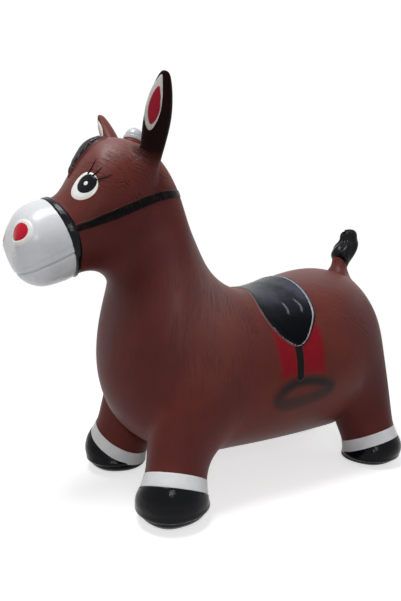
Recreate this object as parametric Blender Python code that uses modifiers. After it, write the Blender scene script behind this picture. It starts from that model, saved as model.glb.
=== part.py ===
"""Bouncy ride-on horse: one hollow, air-filled vinyl moulding with its raised and coloured zones
and its push-in valve plug. Metres, +Z up, nose towards -Y, the animal's left side towards +X,
the floor at z = 0."""
import math

import bmesh
import bpy
from mathutils import Matrix, Vector
from mathutils.bvhtree import BVHTree

# Whole toy
LENGTH = 0.574
POLL_HEIGHT = 0.466
BARREL_WIDTH = 0.262
WALL = 0.0025
COAT = 0.001
GAP = 0.0003
OVERRUN = 0.012
PATCH_MARGIN = 0.022
MERGE = 0.00001

# Legs, hooves and the white bands above them
HOOF_RADIUS_SHARE = 0.1794
SOLE_RADIUS_SHARE = 0.1107
PASTERN_RADIUS_SHARE = 0.1489
SHANK_RADIUS_SHARE = 0.1412
THIGH_RADIUS_SHARE = 0.1565
FRONT_HOOF_HEIGHT = 0.038
HIND_HOOF_HEIGHT = 0.028
BAND_HEIGHT = 0.018
SOLE_CUT = 0.0005
HOOF_WIDEST_SHARE = 0.5
TRACK_SHARE = 0.72
THIGH_TRACK_SHARE = 0.60
THIGH_HEIGHT_SHARE = 0.175
FRONT_HOOF_SHARE = -0.213
HIND_HOOF_SHARE = 0.40
LEG_SPLAY = 0.45
FRONT_LEG_LEAN = 0.40
HIND_LEG_LEAN = -0.15
LEG_RUN_SHARE = 0.8
LEG_TILT_SHARES = (1.3, 1, 1, 0.5, 0)

# Ears
EAR_RISE = 0.084
EAR_WIDTH = 0.034
EAR_DEPTH = 0.030
EAR_SPREAD = 0.058
EAR_LEAN = 0.007
EAR_ROOT_SHARES = (0.175, -0.217, 0.932)
EAR_ACROSS_SHARES = (0.90, 0.42, -0.32)
EAR_ROOT_ACROSS_SHARES = (0.66, 0.31, -0.68)
EAR_ALONG_SHARES = (0.42, -0.90, 0.12)
EAR_SECTION_SHARES = (
    (0.00, 0.80, 0.85, 0.0), (0.22, 0.92, 0.92, 0.15), (0.55, 1.06, 1.0, 0.35),
    (0.84, 0.70, 0.66, 0.3), (1.00, 0.30, 0.32, 0.0),
)
EAR_LINING_HALF_LENGTH = 0.033
EAR_LINING_HALF_WIDTH = 0.0115
EAR_INNER_HALF_LENGTH = 0.0225
EAR_INNER_HALF_WIDTH = 0.0080

# Tail
TAIL_RISE = 0.066
TAIL_DOCK_RADIUS = 0.013
TAIL_TUFT_RADIUS = 0.019
TAIL_SWEEP = 0.026
TAIL_ROOT_SHARES = (0.427, 0.627)
TAIL_SECTION_SHARES = (
    (0.00, 0.0, 1.10, 0), (0.24, 0.1, 0.85, 0), (0.50, 0.5, 0, 1), (0.78, 0.95, 0, 0.70),
    (1.00, 0.9, 0, 0.45),
)
TUFT_BASE = 0.019
TUFT_BASE_SLOPE = 0.55

# Valve: a thick boss in the poll, a bore through it and a plug with a domed cap
VALVE_SHARE = -0.221
VALVE_BOSS_RADIUS = 0.0095
VALVE_BOSS_DEPTH = 0.013
VALVE_SEAT_RADIUS = 0.0135
VALVE_SEAT_HEIGHT = 0.0035
PLUG_STEM_RADIUS = 0.0045
PLUG_STEM_LENGTH = 0.017
PLUG_CAP_RADIUS = 0.012
PLUG_CAP_HEIGHT = 0.013
BORE_REACH = 0.05

# Head harness
NOSEBAND_WIDTH = 0.0105
NOSEBAND_COAT = 0.0028
CHEEK_STRAP_WIDTH = 0.011
CHEEK_STRAP_COAT = 0.0014

# Face
EYE_RADIUS = 0.0178
IRIS_RADIUS = 0.0122
GLINT_RADIUS = 0.003
EYE_COAT = 0.0008
LASH_WIDTH = 0.0014
NOSTRIL_RADIUS = 0.0098
NOSTRIL_RIM_RADIUS = 0.0132
NOSTRIL_RIM_COAT = 0.0022
MOUTH_WIDTH = 0.0016
MUZZLE_COAT = 0.0016
FORELOCK_COAT = 0.0045
FORELOCK_LENGTH = 0.064
FORELOCK_HALF_WIDTH = 0.014

# Saddle, cloth and stirrup
SADDLE_COAT = 0.0022
SADDLE_PIPING = 0.0026
SADDLE_PIPING_COAT = 0.0012
SADDLE_PIPING_INSET = 0.0048
CLOTH_COAT = 0.0008
STRAP_WIDTH = 0.0085

# Stations along the animal: top line (y, z), bottom line (y, z) and half width.
# y is a share of LENGTH, z of POLL_HEIGHT and the half width of BARREL_WIDTH.
STATION_SHARES = (
    ("rump_end", 0.476, 0.459, 0.474, 0.339, 0.126),
    ("rump", 0.461, 0.532, 0.463, 0.253, 0.237),
    ("croup", 0.434, 0.586, 0.443, 0.189, 0.328),
    ("hind_leg_rear", 0.401, 0.620, 0.422, 0.133, 0.401),
    ("hind_leg_middle", 0.350, 0.639, 0.380, 0.101, 0.454),
    ("hind_leg_front", 0.289, 0.639, 0.307, 0.092, 0.492),
    ("loin", 0.220, 0.618, 0.220, 0.090, 0.500),
    ("seat", 0.146, 0.590, 0.139, 0.090, 0.496),
    ("withers", 0.080, 0.575, 0.035, 0.092, 0.492),
    ("front_leg_rear", 0.028, 0.584, -0.070, 0.097, 0.481),
    ("front_leg_middle", -0.024, 0.614, -0.178, 0.124, 0.454),
    ("front_leg_front", -0.068, 0.667, -0.268, 0.210, 0.424),
    ("chest", -0.094, 0.732, -0.303, 0.335, 0.408),
    ("neck_low", -0.113, 0.792, -0.294, 0.459, 0.347),
    ("neck", -0.122, 0.850, -0.275, 0.552, 0.290),
    ("throat", -0.138, 0.906, -0.273, 0.601, 0.252),
    ("ear_rear", -0.167, 0.957, -0.286, 0.629, 0.240),
    ("ear_middle", -0.216, 0.989, -0.307, 0.644, 0.248),
    ("ear_front", -0.272, 1.002, -0.333, 0.646, 0.252),
    ("brow", -0.326, 0.979, -0.359, 0.637, 0.240),
    ("face", -0.357, 0.906, -0.383, 0.622, 0.214),
    ("noseband", -0.390, 0.834, -0.406, 0.614, 0.191),
    ("muzzle_rear", -0.423, 0.822, -0.430, 0.606, 0.198),
    ("muzzle", -0.462, 0.808, -0.463, 0.618, 0.202),
    ("muzzle_front", -0.490, 0.762, -0.488, 0.660, 0.149),
)
STATION_NAMES = [row[0] for row in STATION_SHARES]

# Turn of each point of a station's half ring, from the top line (0) round to the bottom line (1)
RING_TURN_SHARES = (0, 0.167, 0.333, 0.5, 0.68, 0.86, 1)
RING_STEPS = len(RING_TURN_SHARES) - 1

# Lines and outlines seen from the side: y as a share of LENGTH, z as a share of POLL_HEIGHT
NOSEBAND_SHARES = (
    (-0.439, 0.880), (-0.414, 0.812), (-0.391, 0.749), (-0.377, 0.697), (-0.368, 0.655),
    (-0.353, 0.610),
)
CHEEK_STRAP_SHARES = (
    (-0.379, 0.748), (-0.343, 0.765), (-0.311, 0.781), (-0.279, 0.798), (-0.225, 0.826),
    (-0.183, 0.841), (-0.143, 0.850),
)
MOUTH_SHARES = ((-0.553, 0.618), (-0.473, 0.640), (-0.437, 0.658), (-0.405, 0.676), (-0.343, 0.716))
NOSE_SHARES = (-0.533, 0.560)
BROW_SHARES = (-0.533, 0.920)
SADDLE_OUTLINE_SHARES = (
    (0.100, 0.640), (0.075, 0.592), (0.045, 0.560), (0.030, 0.527), (0.034, 0.487), (0.055, 0.449),
    (0.085, 0.427), (0.115, 0.437), (0.147, 0.472), (0.171, 0.506), (0.187, 0.549), (0.198, 0.586),
    (0.209, 0.615), (0.231, 0.650), (0.200, 0.720), (0.130, 0.720),
)
SADDLE_PIPING_START = 4
SADDLE_PIPING_END = 14
CLOTH_FRONT_SHARES = ((0.030, 0.351), (0.028, 0.466), (0.057, 0.500))
CLOTH_REAR_SHARES = ((0.160, 0.349), (0.164, 0.466), (0.137, 0.500))
STRAP_SHARES = ((0.087, 0.450), (0.086, 0.400), (0.087, 0.342))
STIRRUP_OUTER_SHARES = (
    (0.013, 0.292), (0.030, 0.324), (0.080, 0.346), (0.141, 0.338), (0.203, 0.302), (0.157, 0.282),
    (0.077, 0.262), (0.019, 0.270),
)
STIRRUP_OPENING_SHARES = ((0.049, 0.300), (0.092, 0.316), (0.145, 0.310), (0.149, 0.300), (0.081, 0.284))
LASH_SHARES = {
    "upper": ((-0.350, 0.886), (-0.331, 0.921)),
    "middle": ((-0.342, 0.880), (-0.327, 0.898)),
    "lower": ((-0.337, 0.866), (-0.311, 0.880)),
}
EYE_SHARES = (-0.361, 0.852)
IRIS_SHARES = (-0.356, 0.856)
NOSTRIL_SHARES = (-0.482, 0.738)
FORELOCK_SHARES = (-0.338, 0.945)

# The forelock's outline: half width and run, each as a share
FORELOCK_OUTLINE_SHARES = (
    (0.0, 1.08), (0.7, 0.92), (1.0, 0.5), (0.85, 0.0), (0.5, -0.55), (0.0, -1.0), (-0.5, -0.55),
    (-0.85, 0.0), (-1.0, 0.5), (-0.7, 0.92),
)

# Aims and counts
UP_AIM = Vector((0, 0, 1))
FORELOCK_AIM = Vector((0, -0.675, 0.738))
FORELOCK_RISE_AIM = Vector((0, 0.738, 0.675))
EAR_LINING_SHARE = 0.70
EAR_INNER_SHARE = 0.66
MOUTH_REACH_SHARE = 0.3
HOLLOW_LIMB_COUNT = 2
CAVITY_DETAIL_SHARE = 0.5
DISC_SIDES = 20
TURNED_STEPS = 20
DOME_STEPS = 6
SPAN_STEPS = 2


def swell(sides):
    """How far a ring of cage points stands outside the round surface that it is smoothed to."""
    return 3 / (2 + math.cos(2 * math.pi / sides))


def side_point(shares, x=0.0):
    """A point of a side outline: its shares of the length and of the poll height."""
    return Vector((x, shares[0] * LENGTH, shares[1] * POLL_HEIGHT))


def ring_point(row, step):
    """One point of a station's half ring: the top line at step 0, the bottom line at the last."""
    _, top_y, top_z, low_y, low_z, half_width = row
    top, low = side_point((top_y, top_z)), side_point((low_y, low_z))
    turn = math.pi * RING_TURN_SHARES[step]
    size = swell(2 * RING_STEPS)
    point = (top + low) / 2 + (top - low) / 2 * math.cos(turn) * size
    point.x = half_width * BARREL_WIDTH * math.sin(turn) * size
    return point


def round_square(across, along):
    """Move a point of a square grid onto a round one, so that a block of faces becomes a disc."""
    return across * math.sqrt(1 - along * along / 2), along * math.sqrt(1 - across * across / 2)


class Cage:
    """The half cage of the animal on the +X side of its middle plane."""

    def __init__(self):
        self.bm = bmesh.new()
        self.across = self.bm.verts.layers.float.new("across")
        self.along = self.bm.verts.layers.float.new("along")
        self.rings = [
            [self.bm.verts.new(ring_point(row, step)) for step in range(RING_STEPS + 1)]
            for row in STATION_SHARES
        ]
        self.faces = {}
        for station in range(len(self.rings) - 1):
            near, far = self.rings[station], self.rings[station + 1]
            for step in range(RING_STEPS):
                corners = (near[step], near[step + 1], far[step + 1], far[step])
                self.faces[station, step] = self.bm.faces.new(corners)
        self.close_end(self.rings[0])
        self.close_end(self.rings[-1])

    def close_end(self, ring):
        """Fill an end ring with rows of faces from the top line to the bottom line."""
        for step in range(RING_STEPS // 2):
            corners = [ring[step], ring[step + 1], ring[-step - 2], ring[-step - 1]]
            if corners[1] is corners[2]:
                corners.pop(1)
            self.bm.faces.new(corners)

    def grow(self, station_name, stations, step, steps, sections):
        """Pull a block of faces out along a limb's sections: centre, across, along and scoop.
        A block that starts at the mirror plane is one half of a limb."""
        start = STATION_NAMES.index(station_name)
        for i in range(stations + 1):
            for j in range(steps + 1):
                vert = self.rings[start + i][step + j]
                vert[self.along] = 2 * i / stations - 1
                vert[self.across] = 2 * j / steps - 1 if step else j / steps
        block = [self.faces[start + i, step + j] for i in range(stations) for j in range(steps)]
        size = swell(2 * (stations + 2))
        for centre, across, along, scoop in sections:
            grown = bmesh.ops.extrude_face_region(self.bm, geom=block)["geom"]
            bmesh.ops.delete(self.bm, geom=block, context="FACES")
            block = [item for item in grown if isinstance(item, bmesh.types.BMFace)]
            for vert in (item for item in grown if isinstance(item, bmesh.types.BMVert)):
                u, v = round_square(vert[self.across], vert[self.along])
                vert.co = centre + (across * u + along * v) * size
                if v > 0 and abs(u) < v:
                    vert.co -= along * scoop

    def drop_middle_faces(self):
        """Take away the faces that lie in the mirror plane, so that the halves join openly."""
        flat = [face for face in self.bm.faces if all(abs(v.co.x) < MERGE for v in face.verts)]
        bmesh.ops.delete(self.bm, geom=flat, context="FACES")


def leg_sections(hoof_y, hoof_height, lean):
    """Sections of one leg from the thigh down to the sole. The foot stands outwards of the thigh
    by the splay and in front of it by the lean."""
    widest = hoof_height * HOOF_WIDEST_SHARE
    heights = (THIGH_HEIGHT, hoof_height + BAND_HEIGHT, hoof_height, widest, GAP + COAT - SOLE_CUT)
    radii = (THIGH_RADIUS, SHANK_RADIUS, PASTERN_RADIUS, HOOF_RADIUS, SOLE_RADIUS)
    sections = []
    for height, radius, tilt in zip(heights, radii, LEG_TILT_SHARES):
        rise = max(height - widest, 0)
        step_in = (HALF_TRACK - THIGH_HALF_TRACK) * rise / (THIGH_HEIGHT - widest)
        centre = Vector((HALF_TRACK - step_in, hoof_y + lean * rise * LEG_RUN_SHARE, height))
        across = Vector((-radius, 0, -radius * LEG_SPLAY * tilt))
        along = Vector((0, -radius, radius * lean * tilt))
        sections.append((centre, across, along, 0))
    return sections


def ear_sections():
    """Sections of one ear from its root to its tip, cupped at the front."""
    across = Vector(EAR_ACROSS_SHARES).normalized() * EAR_WIDTH / 2
    root_across = Vector(EAR_ROOT_ACROSS_SHARES).normalized() * EAR_WIDTH / 2
    along = Vector(EAR_ALONG_SHARES).normalized() * EAR_DEPTH / 2
    return [
        (EAR_ROOT + EAR_REACH * rise, (across if rise else root_across) * width, along * deep, scoop)
        for rise, width, deep, scoop in EAR_SECTION_SHARES
    ]


def tail_sections():
    """Sections of the half tail from the dock up through the tuft, which sweeps back."""
    sections = []
    for rise, sweep, dock_share, tuft_share in TAIL_SECTION_SHARES:
        radius = dock_share * TAIL_DOCK_RADIUS + tuft_share * TAIL_TUFT_RADIUS
        centre = TAIL_ROOT + Vector((0, TAIL_SWEEP * sweep, TAIL_RISE * rise))
        sections.append((centre, Vector((radius, 0, 0)), Vector((0, -radius, 0)), 0))
    return sections


def animal_cage(name, limb_sections=None):
    """The whole half cage as a mesh: trunk, neck, head and legs, ear and tail. The ear and the
    tail can end after a number of sections."""
    cage = Cage()
    cage.grow("hind_leg_rear", 2, 3, 2, leg_sections(*HIND_LEG))
    cage.grow("front_leg_rear", 2, 3, 2, leg_sections(*FRONT_LEG))
    cage.grow("ear_rear", 2, 1, 2, ear_sections()[:limb_sections])
    cage.grow("rump", 2, 0, 1, tail_sections()[:limb_sections])
    cage.drop_middle_faces()
    bmesh.ops.recalc_face_normals(cage.bm, faces=cage.bm.faces)
    mesh = bpy.data.meshes.new(name)
    cage.bm.to_mesh(mesh)
    cage.bm.free()
    return mesh


def new_collection(name):
    collection = bpy.data.collections.new(name)
    bpy.context.scene.collection.children.link(collection)
    return collection


def new_material(name, colour, roughness, metallic=0.0):
    material = bpy.data.materials.new(name)
    material.use_nodes = True
    shader = material.node_tree.nodes["Principled BSDF"]
    shader.inputs["Base Color"].default_value = (*colour, 1)
    shader.inputs["Roughness"].default_value = roughness
    shader.inputs["Metallic"].default_value = metallic
    return material


def add_object(name, mesh, collection, material=None):
    item = bpy.data.objects.new(name, mesh)
    collection.objects.link(item)
    if material:
        mesh.materials.clear()
        mesh.materials.append(material)
        mesh.shade_smooth()
    else:
        item.hide_render = True
        item.display_type = "WIRE"
    return item


def smooth_mirror(item):
    """Mirror a half cage across the middle plane and smooth it."""
    mirror = item.modifiers.new("both_sides", "MIRROR")
    mirror.use_clip = True
    mirror.merge_threshold = MERGE
    subdivision = item.modifiers.new("smooth", "SUBSURF")
    subdivision.levels = 1
    subdivision.render_levels = 1
    item.modifiers.new("triangles", "TRIANGULATE")


def evaluated_mesh(item):
    """A plain mesh of an object with its modifiers applied."""
    graph = bpy.context.evaluated_depsgraph_get()
    return bpy.data.meshes.new_from_object(item.evaluated_get(graph))


def cut(item, cutter, operation):
    boolean = item.modifiers.new(cutter.name, "BOOLEAN")
    boolean.operation = operation
    boolean.object = cutter


# Outlines

def side_line(shares):
    return [side_point(pair) for pair in shares]


def smooth_line(points, closed=False):
    """Points of a smooth curve through the given ones."""
    count = len(points)
    line = []
    for span in range(count if closed else count - 1):
        near = [points[(span + k) % count if closed else min(max(span + k, 0), count - 1)]
                for k in (-1, 0, 1, 2)]
        before, start, end, after = near
        for step in range(SPAN_STEPS):
            t = step / SPAN_STEPS
            bend = (2 * before - 5 * start + 4 * end - after) * t ** 2
            curl = (3 * start - before - 3 * end + after) * t ** 3
            line.append((2 * start + (end - before) * t + bend + curl) / 2)
    return line if closed else line + [points[-1]]


def beside(line, distance):
    """A side line moved sideways: to its left when it is walked along, seen from +X."""
    moved = []
    for k, point in enumerate(line):
        way = (line[min(k + 1, len(line) - 1)] - line[max(k - 1, 0)]).normalized()
        moved.append(point + Vector((0, -way.z, way.y)) * distance)
    return moved


def ribbon(line, width):
    return beside(line, width / 2) + beside(line, -width / 2)[::-1]


def grown(line, distance):
    """A closed side outline made larger all round."""
    area = sum(a.y * b.z - b.y * a.z for a, b in zip(line, line[1:] + line[:1]))
    return beside([line[-1], *line, line[0]], -math.copysign(distance, area))[1:-1]


def ellipse(half_width, half_height):
    turns = (2 * math.pi * step / DISC_SIDES for step in range(DISC_SIDES))
    return [(half_width * math.cos(turn), half_height * math.sin(turn)) for turn in turns]


# Cutters

def prism(name, outline, start, end):
    """A closed block: an outline pushed from start to end."""
    bm = bmesh.new()
    face = bm.faces.new([bm.verts.new(point + start) for point in outline])
    pushed = bmesh.ops.extrude_face_region(bm, geom=[face])["geom"]
    moved = [item for item in pushed if isinstance(item, bmesh.types.BMVert)]
    bmesh.ops.translate(bm, verts=moved, vec=end - start)
    bmesh.ops.recalc_face_normals(bm, faces=bm.faces)
    mesh = bpy.data.meshes.new(name)
    bm.to_mesh(mesh)
    bm.free()
    return add_object(name, mesh, CUTTERS)


def side_prism(name, outline, side=0):
    """A block with a side outline: through the left (1), the right (-1) or both sides (0)."""
    reach = BARREL_WIDTH / 2 + OVERRUN
    near = OVERRUN / 2 * side if side else -reach
    far = reach * side if side else reach
    return prism(name, outline, Vector((near, 0, 0)), Vector((far, 0, 0)))


def plate(name, centre, aim, up, outline, depth=OVERRUN):
    """A block through the skin at a point. Its outline lies square to the aim, as pairs of
    distances across and up."""
    across = up.cross(aim).normalized()
    rise = aim.cross(across).normalized()
    points = [centre + across * u + rise * v for u, v in outline]
    return prism(name, points, -aim.normalized() * depth, aim.normalized() * depth)


def leg_block(name, side, leg, low, high):
    """A block round one leg between two heights at the leg's middle. Both ends tilt with the
    leg, but an end on the floor is level."""
    hoof_y, _, lean = leg
    bm = bmesh.new()
    bmesh.ops.create_cube(bm, size=2)
    for vert in bm.verts:
        x, y = vert.co.x * (HOOF_RADIUS + OVERRUN), vert.co.y * (HOOF_RADIUS + OVERRUN)
        base = high if vert.co.z > 0 else low
        tilt = LEG_SPLAY * side * x - lean * y if base else 0
        vert.co = Vector((HALF_TRACK * side + x, hoof_y + y, base + tilt))
    mesh = bpy.data.meshes.new(name)
    bm.to_mesh(mesh)
    bm.free()
    return add_object(name, mesh, CUTTERS)


def turned(name, profile, collection, place, material=None):
    """A round piece made by turning a profile of radii and heights about the place's axis."""
    bm = bmesh.new()
    verts = [bm.verts.new((radius, 0, height)) for radius, height in profile]
    for first, second in zip(verts, verts[1:]):
        bm.edges.new((first, second))
    mesh = bpy.data.meshes.new(name)
    bm.to_mesh(mesh)
    bm.free()
    item = add_object(name, mesh, collection, material)
    item.matrix_world = place
    screw = item.modifiers.new("turned", "SCREW")
    screw.steps = screw.render_steps = TURNED_STEPS
    screw.use_merge_vertices = True
    screw.merge_threshold = MERGE
    screw.use_normal_flip = True
    return item


def skin_hit(start, way):
    """Where a ray first meets the outside of the skin, and which way the skin faces there."""
    point, normal, _, _ = SKIN_TREE.ray_cast(start, way)
    return point, normal


def side_hit(shares, side):
    return skin_hit(side_point(shares, side * LENGTH), Vector((-side, 0, 0)))


# Layers on the skin

def layer(name, keep, thickness, material, holes=(), lift=0.0):
    """A thin solid that follows the outside of the skin inside a cutter. It lies a gap off the
    skin, or a lift further out."""
    corners = [Vector(corner) for corner in keep.bound_box]
    low = [min(corner[axis] for corner in corners) - PATCH_MARGIN for axis in range(3)]
    high = [max(corner[axis] for corner in corners) + PATCH_MARGIN for axis in range(3)]
    bm = bmesh.new()
    bm.from_mesh(SURFACE)
    near = {vert for vert in bm.verts
            if all(low[axis] < vert.co[axis] < high[axis] for axis in range(3))}
    moves = [(vert, vert.normal * (GAP + lift)) for vert in bm.verts]
    for vert, move in moves:
        vert.co += move
    far = [face for face in bm.faces if near.isdisjoint(face.verts)]
    bmesh.ops.delete(bm, geom=far, context="FACES")
    mesh = bpy.data.meshes.new(name)
    bm.to_mesh(mesh)
    bm.free()
    item = add_object(name, mesh, TOY, material)
    shell = item.modifiers.new("thickness", "SOLIDIFY")
    shell.thickness = thickness
    shell.offset = 1
    cut(item, keep, "INTERSECT")
    for hole in holes:
        cut(item, hole, "DIFFERENCE")
    return item


def eye(side_name, side):
    """An eye in three layers, with its lashes."""
    centre, aim = side_hit(EYE_SHARES, side)
    iris_centre, iris_aim = side_hit(IRIS_SHARES, side)
    white = plate("eye_outline_" + side_name, centre, aim, UP_AIM, ellipse(EYE_RADIUS, EYE_RADIUS))
    clear = plate("eye_clear_" + side_name, centre, aim, UP_AIM,
                  ellipse(EYE_RADIUS + GAP, EYE_RADIUS + GAP))
    iris = plate("iris_outline_" + side_name, iris_centre, iris_aim, UP_AIM,
                 ellipse(IRIS_RADIUS, IRIS_RADIUS))
    glint = plate("glint_outline_" + side_name, iris_centre, iris_aim, UP_AIM,
                  ellipse(GLINT_RADIUS, GLINT_RADIUS))
    step = EYE_COAT + GAP
    layer("eye_white_" + side_name, white, EYE_COAT, EYE_WHITE)
    layer("iris_" + side_name, iris, EYE_COAT, BLACK, lift=step)
    layer("glint_" + side_name, glint, EYE_COAT, EYE_WHITE, lift=2 * step)
    for place, line in LASH_SHARES.items():
        name = place + "_eyelash_" + side_name
        lash = side_prism(name + "_outline", ribbon(side_line(line), LASH_WIDTH), side)
        layer(name, lash, EYE_COAT, BLACK, holes=[clear])


def ear(side_name, side):
    """The pale lining of an ear and the red oval in it."""
    flip = Vector((side, 1, 1))
    blocks = []
    for name, share, half_width, half_length in (
            ("ear_lining_outline_", EAR_LINING_SHARE, EAR_LINING_HALF_WIDTH, EAR_LINING_HALF_LENGTH),
            ("ear_inner_outline_", EAR_INNER_SHARE, EAR_INNER_HALF_WIDTH, EAR_INNER_HALF_LENGTH)):
        aim = Vector(EAR_ALONG_SHARES) * flip
        centre = (EAR_ROOT + EAR_REACH * share) * flip + aim * EAR_DEPTH / 2
        blocks.append(plate(name + side_name, centre, aim, EAR_REACH * flip,
                            ellipse(half_width, half_length)))
    layer("ear_lining_" + side_name, blocks[0], COAT, PALE)
    layer("ear_inner_" + side_name, blocks[1], COAT, RED, lift=COAT + GAP)


def head():
    """Noseband, cheek straps, muzzle and lower lip, nostrils and forelock."""
    noseband_line = smooth_line(side_line(NOSEBAND_SHARES))
    noseband = side_prism("noseband_outline", ribbon(noseband_line, NOSEBAND_WIDTH))
    clear = side_prism("noseband_clear", ribbon(noseband_line, NOSEBAND_WIDTH + 2 * GAP))
    layer("noseband", noseband, NOSEBAND_COAT, BLACK)

    front_edge = beside(noseband_line, -NOSEBAND_WIDTH / 2 - GAP)
    front = side_prism("muzzle_outline", front_edge + side_line((NOSE_SHARES, BROW_SHARES)))
    mouth = smooth_line(side_line(MOUTH_SHARES))
    rise = UP_AIM * POLL_HEIGHT * MOUTH_REACH_SHARE
    ends = [mouth[-1], mouth[0]]
    under = side_prism("under_mouth", beside(mouth, MOUTH_WIDTH / 2) + [p - rise for p in ends])
    over = side_prism("over_mouth", beside(mouth, -MOUTH_WIDTH / 2) + [p + rise for p in ends])

    nostrils = []
    for side_name, side in SIDES:
        centre, aim = side_hit(NOSTRIL_SHARES, side)
        rim = plate("nostril_rim_outline_" + side_name, centre, aim, UP_AIM,
                    ellipse(NOSTRIL_RIM_RADIUS, NOSTRIL_RIM_RADIUS))
        rim_clear = plate("nostril_rim_clear_" + side_name, centre, aim, UP_AIM,
                          ellipse(NOSTRIL_RIM_RADIUS + GAP, NOSTRIL_RIM_RADIUS + GAP))
        inner = plate("nostril_outline_" + side_name, centre, aim, UP_AIM,
                      ellipse(NOSTRIL_RADIUS, NOSTRIL_RADIUS))
        inner_clear = plate("nostril_clear_" + side_name, centre, aim, UP_AIM,
                            ellipse(NOSTRIL_RADIUS + GAP, NOSTRIL_RADIUS + GAP))
        layer("nostril_rim_" + side_name, rim, NOSTRIL_RIM_COAT, MUZZLE_WHITE, holes=[inner_clear])
        layer("nostril_" + side_name, inner, MUZZLE_COAT, RED)
        nostrils.append(rim_clear)

        strap = ribbon(smooth_line(side_line(CHEEK_STRAP_SHARES)), CHEEK_STRAP_WIDTH)
        strap = side_prism("cheek_strap_outline_" + side_name, strap, side)
        layer("cheek_strap_" + side_name, strap, CHEEK_STRAP_COAT, BLACK, holes=[clear])
        eye(side_name, side)
        ear(side_name, side)
    layer("muzzle", front, MUZZLE_COAT, MUZZLE_WHITE, holes=[under, *nostrils])
    layer("lower_lip", front, MUZZLE_COAT, MUZZLE_WHITE, holes=[over])

    lock = [Vector((0, FORELOCK_HALF_WIDTH * u, FORELOCK_LENGTH / 2 * v))
            for u, v in FORELOCK_OUTLINE_SHARES]
    lock = [point.yz for point in smooth_line(lock, closed=True)]
    lock = plate("forelock_outline", side_point(FORELOCK_SHARES), FORELOCK_AIM,
                 FORELOCK_RISE_AIM, lock, depth=EAR_WIDTH)
    layer("forelock", lock, FORELOCK_COAT, BLACK)


def saddlery():
    """Saddle with its piping, and on each side the cloth, the strap and the stirrup."""
    corners = side_line(SADDLE_OUTLINE_SHARES)
    outline = smooth_line(corners, closed=True)
    saddle = side_prism("saddle_outline", outline)
    saddle_clear = side_prism("saddle_clear", grown(outline, GAP))
    edge = smooth_line(corners[SADDLE_PIPING_START:SADDLE_PIPING_END])
    edge = beside(edge, SADDLE_PIPING_INSET)
    piping = side_prism("piping_outline", ribbon(edge, SADDLE_PIPING))
    layer("saddle", saddle, SADDLE_COAT, BLACK)
    layer("saddle_piping", piping, SADDLE_PIPING_COAT, PALE, lift=SADDLE_COAT + GAP)

    line = side_line(STRAP_SHARES)
    outer = smooth_line(side_line(STIRRUP_OUTER_SHARES), closed=True)
    inner = smooth_line(side_line(STIRRUP_OPENING_SHARES), closed=True)
    for side_name, side in SIDES:
        strap = side_prism("strap_outline_" + side_name, ribbon(line, STRAP_WIDTH), side)
        iron = side_prism("stirrup_outline_" + side_name, outer, side)
        iron_clear = side_prism("stirrup_clear_" + side_name, grown(outer, GAP), side)
        opening = side_prism("stirrup_opening_" + side_name, inner, side)
        layer("stirrup_iron_" + side_name, iron, CLOTH_COAT, DARK, holes=[opening])
        layer("stirrup_strap_" + side_name, strap, CLOTH_COAT, BLACK,
              holes=[saddle_clear, iron_clear])
        for place, way, corners in (("front", -1, CLOTH_FRONT_SHARES), ("rear", 1, CLOTH_REAR_SHARES)):
            name = "saddle_cloth_" + place + "_" + side_name
            panel = beside(line, way * (STRAP_WIDTH / 2 + GAP)) + side_line(corners)
            panel = side_prism(name + "_outline", panel, side)
            layer(name, panel, CLOTH_COAT, RED, holes=[saddle_clear, iron_clear])


def feet():
    """A dark coat on each hoof, flat where it stands, and the white band above it."""
    for leg_name, leg in (("front", FRONT_LEG), ("hind", HIND_LEG)):
        for side_name, side in SIDES:
            name = leg_name + "_" + side_name
            top = leg[1]
            hoof = leg_block("hoof_block_" + name, side, leg, 0, top - GAP)
            band = leg_block("band_block_" + name, side, leg, top, top + BAND_HEIGHT)
            layer("hoof_" + name, hoof, COAT, BLACK)
            layer("pastern_band_" + name, band, COAT, PALE)


def tuft():
    """A dark coat on the tail above a slanted line, lower at the rear."""
    reach = TAIL_SWEEP + TAIL_TUFT_RADIUS + OVERRUN
    base, top, drop = TUFT_BASE, TAIL_RISE + OVERRUN, TUFT_BASE_SLOPE * reach
    corners = ((-reach, base + drop), (reach, base - drop), (reach, top), (-reach, top))
    block = side_prism("tuft_block", [TAIL_ROOT + Vector((0, y, z)) for y, z in corners])
    layer("tail_tuft", block, COAT, BLACK)


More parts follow.
